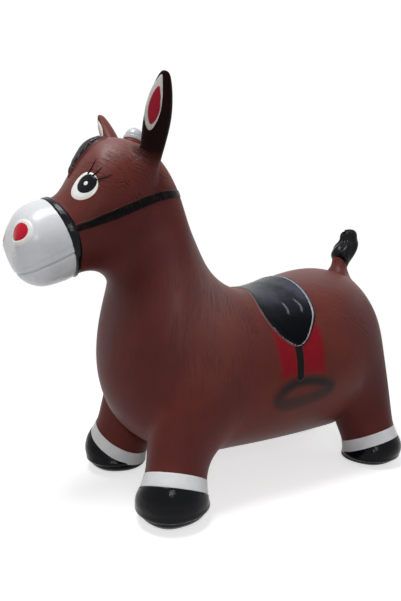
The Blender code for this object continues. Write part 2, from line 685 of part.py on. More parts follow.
def valve():
    """A boss with a flat seat joined to the skin at the poll, a bore and the plug in it."""
    point, normal = skin_hit(side_point((VALVE_SHARE, 2)), -UP_AIM)
    tilt = math.atan2(-normal.y, normal.z)
    turn = Matrix.Rotation(tilt, 4, "X")
    place = Matrix.Translation(point) @ turn
    boss = turned("valve_boss", (
        (0, -VALVE_BOSS_DEPTH), (VALVE_BOSS_RADIUS, -VALVE_BOSS_DEPTH), (VALVE_BOSS_RADIUS, -WALL),
        (VALVE_SEAT_RADIUS, -WALL), (VALVE_SEAT_RADIUS, VALVE_SEAT_HEIGHT), (0, VALVE_SEAT_HEIGHT),
    ), CUTTERS, place)
    hole = PLUG_STEM_RADIUS + GAP
    bore = turned("valve_bore", (
        (0, -BORE_REACH), (hole, -BORE_REACH), (hole, BORE_REACH), (0, BORE_REACH),
    ), CUTTERS, place)
    cut(SKIN, boss, "UNION")
    cut(SKIN, bore, "DIFFERENCE")
    weld = SKIN.modifiers.new("weld", "WELD")
    weld.merge_threshold = MERGE
    base = VALVE_SEAT_HEIGHT + GAP
    dome = [(PLUG_CAP_RADIUS * math.cos(turn), base + PLUG_CAP_HEIGHT * (1 + 2 * math.sin(turn)) / 3)
            for turn in (math.pi / 2 * step / DOME_STEPS for step in range(DOME_STEPS + 1))]
    turned("valve_plug", [
        (0, -PLUG_STEM_LENGTH), (PLUG_STEM_RADIUS, -PLUG_STEM_LENGTH), (PLUG_STEM_RADIUS, base),
        (PLUG_CAP_RADIUS, base), *dome[:-1], (0, dome[-1][1]),
    ], TOY, place, PALE)


for item in list(bpy.data.objects):
    bpy.data.objects.remove(item, do_unlink=True)

# Sizes and places that follow from the sizes of the whole toy
HOOF_RADIUS = HOOF_RADIUS_SHARE * BARREL_WIDTH
SOLE_RADIUS = SOLE_RADIUS_SHARE * BARREL_WIDTH
PASTERN_RADIUS = PASTERN_RADIUS_SHARE * BARREL_WIDTH
SHANK_RADIUS = SHANK_RADIUS_SHARE * BARREL_WIDTH
THIGH_RADIUS = THIGH_RADIUS_SHARE * BARREL_WIDTH
HALF_TRACK = TRACK_SHARE * BARREL_WIDTH / 2
THIGH_HALF_TRACK = THIGH_TRACK_SHARE * BARREL_WIDTH / 2
THIGH_HEIGHT = THIGH_HEIGHT_SHARE * POLL_HEIGHT
FRONT_LEG = (FRONT_HOOF_SHARE * LENGTH, FRONT_HOOF_HEIGHT, FRONT_LEG_LEAN)
HIND_LEG = (HIND_HOOF_SHARE * LENGTH, HIND_HOOF_HEIGHT, HIND_LEG_LEAN)
EAR_ROOT = side_point(EAR_ROOT_SHARES[1:], EAR_ROOT_SHARES[0] * BARREL_WIDTH)
EAR_REACH = Vector((EAR_SPREAD, -EAR_LEAN, EAR_RISE))
TAIL_ROOT = side_point(TAIL_ROOT_SHARES)
SIDES = (("left", 1), ("right", -1))

TOY = new_collection("bouncy_ride_on_horse")
CUTTERS = new_collection("cutters")
BROWN = new_material("brown_vinyl", (0.16, 0.045, 0.04), 0.5)
BLACK = new_material("black_gloss", (0.006, 0.007, 0.012), 0.2)
DARK = new_material("dark_spray", (0.02, 0.018, 0.018), 0.5)
RED = new_material("red_gloss", (0.45, 0.01, 0.03), 0.4)
PALE = new_material("pale_gloss", (0.6, 0.6, 0.62), 0.3)
EYE_WHITE = new_material("eye_white_gloss", (0.75, 0.75, 0.73), 0.25)
MUZZLE_WHITE = new_material("muzzle_white_gloss", (0.7, 0.71, 0.75), 0.25)

SKIN = add_object("body_skin", animal_cage("body_skin"), TOY, BROWN)
smooth_mirror(SKIN)
SURFACE = evaluated_mesh(SKIN)
SKIN_TREE = BVHTree.FromPolygons([v.co for v in SURFACE.vertices],
                                 [face.vertices for face in SURFACE.polygons])

cavity = add_object("cavity", animal_cage("cavity", HOLLOW_LIMB_COUNT), CUTTERS)
smooth_mirror(cavity)
shrink = cavity.modifiers.new("wall", "DISPLACE")
shrink.strength = -WALL
shrink.mid_level = 0
thin_out = cavity.modifiers.new("thin_out", "DECIMATE")
thin_out.ratio = CAVITY_DETAIL_SHARE
cut(SKIN, cavity, "DIFFERENCE")

valve()
head()
saddlery()
feet()
tuft()
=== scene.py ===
"""Looks of the bouncy ride-on horse: a finer skin on the same cage, its moulded and sprayed coats,
the valve plug, vinyl and paint materials, a pale floor, soft light and the camera."""
import math

import bmesh
import bpy
import numpy as np
from mathutils import Matrix, Vector
from mathutils.bvhtree import BVHTree

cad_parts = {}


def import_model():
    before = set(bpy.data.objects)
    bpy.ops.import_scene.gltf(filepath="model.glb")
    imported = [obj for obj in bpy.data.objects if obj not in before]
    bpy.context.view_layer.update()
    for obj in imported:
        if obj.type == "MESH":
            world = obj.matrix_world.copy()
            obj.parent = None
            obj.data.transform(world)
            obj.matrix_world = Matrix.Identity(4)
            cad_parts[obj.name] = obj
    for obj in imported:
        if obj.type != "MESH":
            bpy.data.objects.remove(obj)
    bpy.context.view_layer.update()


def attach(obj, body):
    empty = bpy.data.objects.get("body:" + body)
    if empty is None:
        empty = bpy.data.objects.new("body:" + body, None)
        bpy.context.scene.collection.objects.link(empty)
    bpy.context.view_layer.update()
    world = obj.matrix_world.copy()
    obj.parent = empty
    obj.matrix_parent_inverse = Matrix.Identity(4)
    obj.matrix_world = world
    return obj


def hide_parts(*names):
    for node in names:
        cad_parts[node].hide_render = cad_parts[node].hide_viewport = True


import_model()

# Sizes of the toy, as in the part's source
LENGTH = 0.574
POLL_HEIGHT = 0.466
BARREL_WIDTH = 0.262
MERGE = 0.00001
SOLE_LEVEL = 0.0008
SIDES = (("left", 1), ("right", -1))

# Legs, hooves and the white bands above them
HOOF_RADIUS = 0.1794 * BARREL_WIDTH
SOLE_RADIUS = 0.1107 * BARREL_WIDTH
PASTERN_RADIUS = 0.1489 * BARREL_WIDTH
SHANK_RADIUS = 0.1412 * BARREL_WIDTH
THIGH_RADIUS = 0.1565 * BARREL_WIDTH
HALF_TRACK = 0.72 * BARREL_WIDTH / 2
THIGH_HALF_TRACK = 0.60 * BARREL_WIDTH / 2
THIGH_HEIGHT = 0.175 * POLL_HEIGHT
BAND_HEIGHT = 0.018
LEG_SPLAY = 0.45
LEG_RUN_SHARE = 0.8
LEG_TILT_SHARES = (1.3, 1, 1, 0.5, 0)
HOOF_WIDEST_SHARE = 0.5
HOOF_RIDGE_SHARE = 0.50
HOOF_CREASE_SHARE = 0.39
# Each pair of legs: where its hooves stand, their height and the lean of the leg
FRONT_LEG = (-0.213 * LENGTH, 0.038, 0.40)
HIND_LEG = (0.40 * LENGTH, 0.028, -0.15)

# Ears
EAR_WIDTH = 0.034
EAR_DEPTH = 0.030
EAR_ROOT = Vector((0.175 * BARREL_WIDTH, -0.217 * LENGTH, 0.932 * POLL_HEIGHT))
EAR_REACH = Vector((0.058, -0.007, 0.084))
EAR_ACROSS_SHARES = (0.90, 0.42, -0.32)
EAR_ROOT_ACROSS_SHARES = (0.66, 0.31, -0.68)
EAR_ALONG_SHARES = (0.42, -0.90, 0.12)
EAR_SECTION_SHARES = (
    (0.00, 0.80, 0.85, 0.0), (0.22, 0.92, 0.92, 0.15), (0.55, 1.06, 1.0, 0.35),
    (0.84, 0.70, 0.66, 0.3), (1.00, 0.30, 0.32, 0.0),
)

# Tail
TAIL_RISE = 0.066
TAIL_DOCK_RADIUS = 0.013
TAIL_TUFT_RADIUS = 0.019
TAIL_SWEEP = 0.026
TAIL_ROOT = Vector((0, 0.427 * LENGTH, 0.627 * POLL_HEIGHT))
TAIL_SECTION_SHARES = (
    (0.00, 0.0, 1.10, 0), (0.24, 0.1, 0.85, 0), (0.50, 0.5, 0, 1), (0.78, 0.95, 0, 0.70),
    (1.00, 0.9, 0, 0.45),
)
TUFT_BASE = 0.0165
TUFT_BASE_SLOPE = 1.0

# Valve and its plug, and their place on the poll, as the part has it
VALVE_SEAT_RADIUS = 0.0135
VALVE_SEAT_HEIGHT = 0.0035
PLUG_STEM_RADIUS = 0.0045
PLUG_STEM_LENGTH = 0.017
PLUG_CAP_RADIUS = 0.0134
PLUG_CAP_HEIGHT = 0.0172
PLUG_AXIS = Vector((0, 0.24873, 0.96857))
PLUG_PLACE = (Matrix.Translation(Vector((0, -0.126854, 0.459948)))
              @ Matrix.Rotation(math.atan2(-PLUG_AXIS.y, PLUG_AXIS.z), 4, "X"))

# Coats: how high each stands over the skin, and how wide its rounded edge is
MUZZLE_COAT = 0.0016
SPRAY_COAT = 0.00012
NOSTRIL_SWELL = (0.0006, 0.0018)
NOSTRIL_RIM_SWELL = (0.0008, 0.0030)
EYE_SWELL = (0.0012, 0.006)
IRIS_SWELL = (0.0004, 0.0012)
GLINT_SWELL = (0.0003, 0.0008)
EAR_SWELL = (0.0007, 0.0015)
LOCK_SWELL = (0.0046, 0.0065)
NOSEBAND_SWELL = (0.0028, 0.0034)
CHEEK_STRAP_SWELL = (0.0009, 0.0018)
SADDLE_SWELL = (0.0022, 0.0030)
PIPING_SWELL = (0.0007, 0.0010)
CLOTH_SWELL = (SPRAY_COAT, 0.004)
STIRRUP_SWELL = (SPRAY_COAT * 2, 0.005)
STRAP_SWELL = (0.0006, 0.0016)
HOOF_SWELL = (0.0011, 0.0016)
BAND_SWELL = (0.0007, 0.0014)
TUFT_SWELL = (0.0030, 0.0080)
SHELL = 0.0008
DIVE = 0.0012
FAR_OUT = -1.0
NEAR = 0.008

STATION_SHARES = (
    ("rump_end", 0.476, 0.459, 0.474, 0.339, 0.126),
    ("rump", 0.461, 0.532, 0.463, 0.253, 0.237),
    ("croup", 0.434, 0.586, 0.443, 0.189, 0.328),
    ("hind_leg_rear", 0.401, 0.620, 0.422, 0.133, 0.401),
    ("hind_leg_middle", 0.350, 0.639, 0.380, 0.101, 0.454),
    ("hind_leg_front", 0.289, 0.639, 0.307, 0.092, 0.492),
    ("loin", 0.220, 0.618, 0.220, 0.090, 0.500),
    ("seat", 0.146, 0.590, 0.139, 0.090, 0.496),
    ("withers", 0.080, 0.575, 0.035, 0.092, 0.492),
    ("front_leg_rear", 0.028, 0.584, -0.070, 0.097, 0.481),
    ("front_leg_middle", -0.024, 0.614, -0.178, 0.124, 0.454),
    ("front_leg_front", -0.068, 0.667, -0.268, 0.210, 0.424),
    ("chest", -0.094, 0.732, -0.303, 0.335, 0.408),
    ("neck_low", -0.113, 0.792, -0.294, 0.459, 0.347),
    ("neck", -0.122, 0.850, -0.275, 0.552, 0.290),
    ("throat", -0.138, 0.906, -0.273, 0.601, 0.252),
    ("ear_rear", -0.167, 0.957, -0.286, 0.629, 0.240),
    ("ear_middle", -0.216, 0.989, -0.307, 0.644, 0.248),
    ("ear_front", -0.272, 1.002, -0.333, 0.646, 0.252),
    ("brow", -0.326, 0.979, -0.359, 0.637, 0.240),
    ("face", -0.357, 0.906, -0.383, 0.622, 0.214),
    ("noseband", -0.390, 0.834, -0.406, 0.614, 0.191),
    ("muzzle_rear", -0.423, 0.822, -0.430, 0.606, 0.198),
    ("muzzle", -0.462, 0.808, -0.463, 0.618, 0.202),
    ("muzzle_front", -0.490, 0.762, -0.488, 0.660, 0.149),
)
STATION_NAMES = [row[0] for row in STATION_SHARES]
RING_TURN_SHARES = (0, 0.167, 0.333, 0.5, 0.68, 0.86, 1)
RING_STEPS = len(RING_TURN_SHARES) - 1

# Lines and outlines seen from the side: y as a share of LENGTH, z as a share of POLL_HEIGHT
NOSEBAND_SHARES = (
    (-0.439, 0.880), (-0.414, 0.812), (-0.391, 0.749), (-0.377, 0.697), (-0.368, 0.655),
    (-0.353, 0.590), (-0.330, 0.520),
)
CHEEK_STRAP_SHARES = (
    (-0.379, 0.748), (-0.343, 0.765), (-0.311, 0.781), (-0.279, 0.798), (-0.225, 0.826),
    (-0.183, 0.841), (-0.143, 0.850),
)
MOUTH_SHARES = (
    (-0.600, 0.606), (-0.553, 0.618), (-0.473, 0.640), (-0.437, 0.658), (-0.405, 0.676),
    (-0.343, 0.716),
)
CREASE_SHARES = ((-0.473, 0.654), (-0.437, 0.676), (-0.405, 0.696), (-0.372, 0.716))
SADDLE_SHARES = (
    (0.100, 0.640), (0.075, 0.592), (0.045, 0.560), (0.030, 0.527), (0.034, 0.487), (0.055, 0.449),
    (0.085, 0.427), (0.115, 0.437), (0.147, 0.472), (0.171, 0.506), (0.187, 0.549), (0.198, 0.586),
    (0.209, 0.615), (0.231, 0.650), (0.200, 0.720), (0.130, 0.720),
)
CLOTH_FRONT_SHARES = (
    (0.086, 0.341), (0.024, 0.341), (0.024, 0.466), (0.040, 0.520), (0.090, 0.520),
)
CLOTH_REAR_SHARES = (
    (0.086, 0.341), (0.165, 0.341), (0.172, 0.466), (0.160, 0.520), (0.090, 0.520),
)
STRAP_SHARES = ((0.092, 0.460), (0.088, 0.400), (0.084, 0.348))
STIRRUP_LINE_SHARES = (
    (0.028, 0.292), (0.048, 0.319), (0.085, 0.333), (0.140, 0.327), (0.180, 0.304), (0.150, 0.286),
    (0.085, 0.272), (0.045, 0.274),
)
LASH_SHARES = {
    "upper": ((-0.3500, 0.880), (-0.3315, 0.921)),
    "middle": ((-0.3450, 0.874), (-0.3255, 0.899)),
    "lower": ((-0.3395, 0.865), (-0.309, 0.881)),
}
SADDLE_STROKES = (
    ((0.1060, 0.536), (0.1065, 0.525), (0.1010, 0.512)),
    ((0.1430, 0.546), (0.1460, 0.531), (0.1400, 0.517)),
)
EYE_SHARES = (-0.361, 0.852)
IRIS_SHARES = (-0.3563, 0.8560)
NOSTRIL_SHARES = (-0.482, 0.738)
FORELOCK_SHARES = (-0.338, 0.945)
EYE_RADIUS = 0.0178
IRIS_RADIUS = 0.0121
GLINT_RADIUS = 0.0028
LASH_LIFTS = ((0, 0.35, 1), (0.0015, 0.0008, 0.0002))
LASH_RADIUS = 0.00075
LASH_END_SHARE = 0.40
NOSTRIL_RADII = (0.0119, 0.0106)
NOSTRIL_RIM_RADII = (0.0160, 0.0152)

# Half widths of straps along their lines, and what else changes along a line
NOSEBAND_HALF_WIDTHS = (0.0042, 0.0054, 0.0058, 0.0052, 0.0034, 0.0016, 0.0010)
CHEEK_STRAP_HALF_WIDTHS = (0.0042, 0.0054, 0.0058, 0.0056, 0.0046)
STRAP_HALF_WIDTHS = (0.0064, 0.0056)
STIRRUP_HALF_WIDTHS = (0.0095, 0.0080, 0.0068, 0.0068, 0.0085, 0.0100, 0.0105, 0.0105, 0.0095)
STIRRUP_STRENGTHS = (
    (0, 0.12, 0.25, 0.4, 0.5, 0.7, 0.85, 1), (0.75, 0.9, 1, 1, 0.8, 0.62, 0.68, 0.75),
)
# The pale piping is widest up the saddle's rear edge, where its band is partly painted highlight
PIPING_HALF_WIDTHS = (0.0, 0.0004, 0.0007, 0.0009, 0.0010, 0.0013, 0.0013, 0.0010, 0.0006)
PIPING_INSETS = ((0.1, 0.3, 0.5, 0.75, 1), (0.0016, 0.0020, 0.0036, 0.0048, 0.0050))


# The cage, as in the part's source

def swell(sides):
    """How far a ring of cage points stands outside the round surface that it is smoothed to."""
    return 3 / (2 + math.cos(2 * math.pi / sides))


def side_point(shares, x=0.0):
    return Vector((x, shares[0] * LENGTH, shares[1] * POLL_HEIGHT))


def ring_point(row, step):
    """One point of a station's half ring: the top line at step 0, the bottom line at the last."""
    _, top_y, top_z, low_y, low_z, half_width = row
    top, low = side_point((top_y, top_z)), side_point((low_y, low_z))
    turn = math.pi * RING_TURN_SHARES[step]
    size = swell(2 * RING_STEPS)
    point = (top + low) / 2 + (top - low) / 2 * math.cos(turn) * size
    point.x = half_width * BARREL_WIDTH * math.sin(turn) * size
    return point


def round_square(across, along):
    return across * math.sqrt(1 - along * along / 2), along * math.sqrt(1 - across * across / 2)


class Cage:
    """The half cage of the animal on the +X side of its middle plane."""

    def __init__(self):
        self.bm = bmesh.new()
        self.across = self.bm.verts.layers.float.new("across")
        self.along = self.bm.verts.layers.float.new("along")
        self.rings = [
            [self.bm.verts.new(ring_point(row, step)) for step in range(RING_STEPS + 1)]
            for row in STATION_SHARES
        ]
        self.faces = {}
        for station in range(len(self.rings) - 1):
            near, far = self.rings[station], self.rings[station + 1]
            for step in range(RING_STEPS):
                corners = (near[step], near[step + 1], far[step + 1], far[step])
                self.faces[station, step] = self.bm.faces.new(corners)
        self.close_end(self.rings[0])
        self.close_end(self.rings[-1])

    def close_end(self, ring):
        for step in range(RING_STEPS // 2):
            corners = [ring[step], ring[step + 1], ring[-step - 2], ring[-step - 1]]
            if corners[1] is corners[2]:
                corners.pop(1)
            self.bm.faces.new(corners)

    def grow(self, station_name, stations, step, steps, sections):
        """Pull a block of faces out along a limb's sections: centre, across, along and scoop."""
        start = STATION_NAMES.index(station_name)
        for i in range(stations + 1):
            for j in range(steps + 1):
                vert = self.rings[start + i][step + j]
                vert[self.along] = 2 * i / stations - 1
                vert[self.across] = 2 * j / steps - 1 if step else j / steps
        block = [self.faces[start + i, step + j] for i in range(stations) for j in range(steps)]
        size = swell(2 * (stations + 2))
        for centre, across, along, scoop in sections:
            grown = bmesh.ops.extrude_face_region(self.bm, geom=block)["geom"]
            bmesh.ops.delete(self.bm, geom=block, context="FACES")
            block = [item for item in grown if isinstance(item, bmesh.types.BMFace)]
            for vert in (item for item in grown if isinstance(item, bmesh.types.BMVert)):
                u, v = round_square(vert[self.across], vert[self.along])
                vert.co = centre + (across * u + along * v) * size
                if v > 0 and abs(u) < v:
                    vert.co -= along * scoop

    def drop_middle_faces(self):
        flat = [face for face in self.bm.faces if all(abs(v.co.x) < MERGE for v in face.verts)]
        bmesh.ops.delete(self.bm, geom=flat, context="FACES")


def leg_sections(hoof_y, hoof_height, lean):
    """Sections of one leg from the thigh down to the sole. The foot stands outwards of the thigh
    by the splay and in front of it by the lean."""
    widest = hoof_height * HOOF_WIDEST_SHARE
    heights = (THIGH_HEIGHT, hoof_height + BAND_HEIGHT, hoof_height, widest, SOLE_LEVEL)
    radii = (THIGH_RADIUS, SHANK_RADIUS, PASTERN_RADIUS, HOOF_RADIUS, SOLE_RADIUS)
    sections = []
    for height, radius, tilt in zip(heights, radii, LEG_TILT_SHARES):
        rise = max(height - widest, 0)
        step_in = (HALF_TRACK - THIGH_HALF_TRACK) * rise / (THIGH_HEIGHT - widest)
        centre = Vector((HALF_TRACK - step_in, hoof_y + lean * rise * LEG_RUN_SHARE, height))
        across = Vector((-radius, 0, -radius * LEG_SPLAY * tilt))
        along = Vector((0, -radius, radius * lean * tilt))
        sections.append((centre, across, along, 0))
    return sections


def ear_sections():
    """Sections of one ear from its root to its tip, cupped at the front."""
    across = Vector(EAR_ACROSS_SHARES).normalized() * EAR_WIDTH / 2
    root_across = Vector(EAR_ROOT_ACROSS_SHARES).normalized() * EAR_WIDTH / 2
    along = Vector(EAR_ALONG_SHARES).normalized() * EAR_DEPTH / 2
    return [
        (EAR_ROOT + EAR_REACH * rise, (across if rise else root_across) * width, along * deep,
         scoop)
        for rise, width, deep, scoop in EAR_SECTION_SHARES
    ]


def tail_sections():
    """Sections of the half tail from the dock up through the tuft, which sweeps back."""
    sections = []
    for rise, sweep, dock_share, tuft_share in TAIL_SECTION_SHARES:
        radius = dock_share * TAIL_DOCK_RADIUS + tuft_share * TAIL_TUFT_RADIUS
        centre = TAIL_ROOT + Vector((0, TAIL_SWEEP * sweep, TAIL_RISE * rise))
        sections.append((centre, Vector((radius, 0, 0)), Vector((0, -radius, 0)), 0))
    return sections


def animal_cage():
    cage = Cage()
    cage.grow("hind_leg_rear", 2, 3, 2, leg_sections(*HIND_LEG))
    cage.grow("front_leg_rear", 2, 3, 2, leg_sections(*FRONT_LEG))
    cage.grow("ear_rear", 2, 1, 2, ear_sections())
    cage.grow("rump", 2, 0, 1, tail_sections())
    cage.drop_middle_faces()
    bmesh.ops.recalc_face_normals(cage.bm, faces=cage.bm.faces)
    mesh = bpy.data.meshes.new("animal_cage")
    cage.bm.to_mesh(mesh)
    cage.bm.free()
    return mesh


def put(name, data):
    """A new object in the scene."""
    item = bpy.data.objects.new(name, data)
    bpy.context.scene.collection.objects.link(item)
    return item


def finished_mesh(item):
    """The mesh of an object with its modifiers applied. The object itself goes."""
    graph = bpy.context.evaluated_depsgraph_get()
    mesh = bpy.data.meshes.new_from_object(item.evaluated_get(graph))
    bpy.data.objects.remove(item, do_unlink=True)
    return mesh


def mesh_values(items, attribute, each, kind=float):
    values = np.empty(len(items) * each, dtype=kind)
    items.foreach_get(attribute, values)
    return values


class Skin:
    """A surface as rows of points, the way each faces, and four-cornered faces."""

    def __init__(self, points, normals, quads):
        self.points, self.normals, self.quads = points, normals, quads
        self.seen = points[:, 1:]

    def part(self, low, high):
        """The part of the skin inside a box: a lighter skin for small coats."""
        keep = ((self.points > low) & (self.points < high)).all(axis=1)
        faces = self.quads[keep[self.quads].all(axis=1)]
        used, corners = np.unique(faces, return_inverse=True)
        return Skin(self.points[used], self.normals[used], corners.reshape(-1, 4))


def fine_skin(levels):
    """Both sides of the animal, smoothed from its cage."""
    item = put("fine_skin", animal_cage())
    mirror = item.modifiers.new("both_sides", "MIRROR")
    mirror.use_clip = True
    mirror.merge_threshold = MERGE
    smooth = item.modifiers.new("smooth", "SUBSURF")
    smooth.levels = smooth.render_levels = levels
    mesh = finished_mesh(item)
    return Skin(mesh_values(mesh.vertices, "co", 3).reshape(-1, 3),
                mesh_values(mesh.vertex_normals, "vector", 3).reshape(-1, 3),
                mesh_values(mesh.loops, "vertex_index", 1, np.int64).reshape(-1, 4))


# Skins of three finenesses, and parts of them for small coats
BODY_SKIN = fine_skin(3)
COAT_SKIN = fine_skin(4)
FACE_SKIN = fine_skin(5)
HEAD_SKIN = FACE_SKIN.part((-0.2, -0.32, 0.24), (0.2, -0.03, 0.60))
FLANK_SKIN = FACE_SKIN.part((-0.2, -0.02, 0.10), (0.2, 0.15, 0.30))
BACK_SKIN = FACE_SKIN.part((-0.2, 0.0, 0.18), (0.2, 0.15, 0.32))
TAIL_SKIN = FACE_SKIN.part((-0.05, 0.20, 0.28), (0.05, 0.32, 0.42))
FOOT_SKIN = COAT_SKIN.part((-0.2, -0.3, -0.01), (0.2, 0.32, 0.12))
SKIN_TREE = BVHTree.FromPolygons(COAT_SKIN.points.tolist(), COAT_SKIN.quads.tolist())


def side_hit(y, z, side):
    """Where a level line from a side meets the skin, and the way the skin faces there."""
    point, normal, _, _ = SKIN_TREE.ray_cast(Vector((side * LENGTH, y, z)), Vector((-side, 0, 0)))
    return point, normal


# Outlines and depths: how far inside an outline each point of the skin lies, negative outside

def side_line(shares):
    return np.array([(y * LENGTH, z * POLL_HEIGHT) for y, z in shares])


def side_curve(shares, closed=False, steps=6):
    """Points of a smooth curve through the points of a side line."""
    points = side_line(shares)
    count = len(points)
    line = []
    for span in range(count if closed else count - 1):
        before, start, end, after = (
            points[(span + k) % count if closed else min(max(span + k, 0), count - 1)]
            for k in (-1, 0, 1, 2))
        for t in (step / steps for step in range(steps)):
            bend = (2 * before - 5 * start + 4 * end - after) * t ** 2
            curl = (3 * start - before - 3 * end + after) * t ** 3
            line.append((2 * start + (end - before) * t + bend + curl) / 2)
    return np.array(line if closed else line + [points[-1]])


def beside(line, distance):
    """A line moved to its left when it is walked along, seen from +X."""
    way = np.gradient(line, axis=0)
    way /= np.linalg.norm(way, axis=1, keepdims=True)
    return line + np.stack((-way[:, 1], way[:, 0]), axis=1) * distance


def line_distance(points, line):
    """Distance of each point to a line of points, and how far along the line it is nearest."""
    best = np.full(len(points), np.inf)
    along = np.zeros(len(points))
    for k, (start, end) in enumerate(zip(line[:-1], line[1:])):
        span = end - start
        share = np.clip((points - start) @ span / (span @ span), 0, 1)
        distance = np.linalg.norm(points - start - share[:, None] * span, axis=1)
        nearer = distance < best
        best[nearer] = distance[nearer]
        along[nearer] = (k + share[nearer]) / (len(line) - 1)
    return best, along


def outline_depth(points, outline):
    """Depth inside a closed outline."""
    distance, _ = line_distance(points, np.vstack((outline, outline[:1])))
    inside = np.zeros(len(points), dtype=bool)
    for (ay, az), (by, bz) in zip(outline, np.roll(outline, -1, axis=0)):
        crosses = (az > points[:, 1]) != (bz > points[:, 1])
        with np.errstate(divide="ignore", invalid="ignore"):
            level = ay + (points[:, 1] - az) * (by - ay) / (bz - az)
        inside ^= crosses & (points[:, 0] < level)
    return np.where(inside, distance, -distance)


def near_line(skin, line, reach, side):
    """Which points of a skin lie near a side line, on one side where one is named."""
    low, high = line.min(axis=0) - reach, line.max(axis=0) + reach
    near = ((skin.seen > low) & (skin.seen < high)).all(axis=1)
    return near & (skin.points[:, 0] * side > 0) if side else near


def side_depth(skin, outline, side=0):
    """Depth inside an outline seen from the side."""
    near = near_line(skin, outline, NEAR, side)
    depth = np.full(len(near), FAR_OUT)
    depth[near] = outline_depth(skin.seen[near], outline)
    return depth


def strap_depth(skin, line, half_widths, side=0):
    """Depth inside a strap along a side line, and the share along it."""
    near = near_line(skin, line, 2 * NEAR, side)
    depth, along = np.full(len(near), FAR_OUT), np.zeros(len(near))
    distance, along[near] = line_distance(skin.seen[near], line)
    spots = np.linspace(0, 1, len(half_widths))
    depth[near] = np.interp(along[near], spots, half_widths) - distance
    return depth, along


def disc_depth(shares, side, half_width, half_height, reach=0.02):
    """Depth inside an upright oval about a place on the side of the head."""
    centre, aim = side_hit(*side_line((shares,))[0], side)
    across = Vector((0, 0, 1)).cross(aim).normalized()
    rise = aim.cross(across).normalized()
    away = HEAD_SKIN.points - np.array(centre)
    u, v, w = (away @ np.array(axis) for axis in (across, rise, aim.normalized()))
    depth = (1 - np.hypot(u / half_width, v / half_height)) * min(half_width, half_height)
    facing = HEAD_SKIN.normals @ np.array(aim.normalized()) > 0
    return np.where((np.abs(w) < reach) & facing, depth, FAR_OUT)


def rounded(depth, crown, edge):
    """Height over the skin: it rises to the crown within the edge, and dives outside it."""
    share = np.maximum(depth, -DIVE) / edge
    return crown * np.where(share < 0, 2 * share, np.where(share < 1, share * (2 - share), 1))


def bump(distance, width):
    return np.exp(-(distance / width) ** 2)


def line_bump(skin, line, width):
    """A mark that is 1 on a side line and fades out over a width to both sides of it."""
    return bump(line_distance(skin.seen, line)[0], width)


def soft_spots(skin, spots):
    """The sum of soft marks, each with its strength, its centre and its size along and up."""
    return sum(strength * np.exp(-(((skin.seen - centre) / size) ** 2).sum(axis=1))
               for strength, centre, size in spots)


# Pieces

def closed_mesh(name, points, quads):
    mesh = bpy.data.meshes.new(name)
    mesh.vertices.add(len(points))
    mesh.vertices.foreach_set("co", points.astype(np.float32).ravel())
    mesh.loops.add(quads.size)
    mesh.loops.foreach_set("vertex_index", quads.astype(np.int32).ravel())
    mesh.polygons.add(len(quads))
    mesh.polygons.foreach_set("loop_start", np.arange(0, quads.size, 4, dtype=np.int32))
    mesh.update(calc_edges=True)
    mesh.validate()
    return mesh


def set_marks(mesh, marks):
    """Keep marks on the points of a mesh, for its material to read."""
    for mark, values in marks.items():
        layer = mesh.attributes.new(mark, "FLOAT", "POINT")
        layer.data.foreach_set("value", values.astype(np.float32))


def add_piece(name, mesh, material, node=None, body="horse"):
    mesh.materials.clear()
    mesh.materials.append(material)
    item = put(name, mesh)
    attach(item, body)
    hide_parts(node or name)


def coat(name, skin, depth, height, material, margin=0.001, marks=None):
    """A thin closed piece that follows the skin where the depth is inside the margin. Its depth,
    and any other marks, stay on its points for the material to read."""
    faces = skin.quads[(depth[skin.quads] > -margin).any(axis=1)]
    used, corners = np.unique(faces, return_inverse=True)
    faces = corners.reshape(-1, 4)
    count = len(used)
    top = skin.points[used] + skin.normals[used] * height[used, None]
    low = top - skin.normals[used] * SHELL
    starts, ends = faces.ravel(), np.roll(faces, -1, axis=1).ravel()
    alone = ~np.isin(starts * count + ends, ends * count + starts)
    starts, ends = starts[alone], ends[alone]
    walls = np.stack((ends, starts, starts + count, ends + count), axis=1)
    points = np.vstack((top, low))
    points[:, 2] = np.maximum(points[:, 2], 0)
    mesh = closed_mesh(name, points, np.vstack((faces, faces[:, ::-1] + count, walls)))
    mesh.shade_smooth()
    mesh.set_sharp_from_angle(angle=math.radians(50))
    marks = {"inside": depth, **(marks or {})}
    set_marks(mesh, {mark: np.tile(values[used], 2) for mark, values in marks.items()})
    add_piece(name, mesh, material)


# Materials

class Field:
    """A value that varies over a surface. Sums and products of it are made as nodes."""

    def __init__(self, shading, socket):
        self.shading, self.socket = shading, socket

    def __add__(self, other):
        return self.shading.math("ADD", self, other)

    def __sub__(self, other):
        return self.shading.math("SUBTRACT", self, other)

    def __rsub__(self, other):
        return self.shading.math("SUBTRACT", other, self)

    def __mul__(self, other):
        return self.shading.math("MULTIPLY", self, other)

    def __truediv__(self, other):
        return self.shading.math("DIVIDE", self, other)

    def __rtruediv__(self, other):
        return self.shading.math("DIVIDE", other, self)


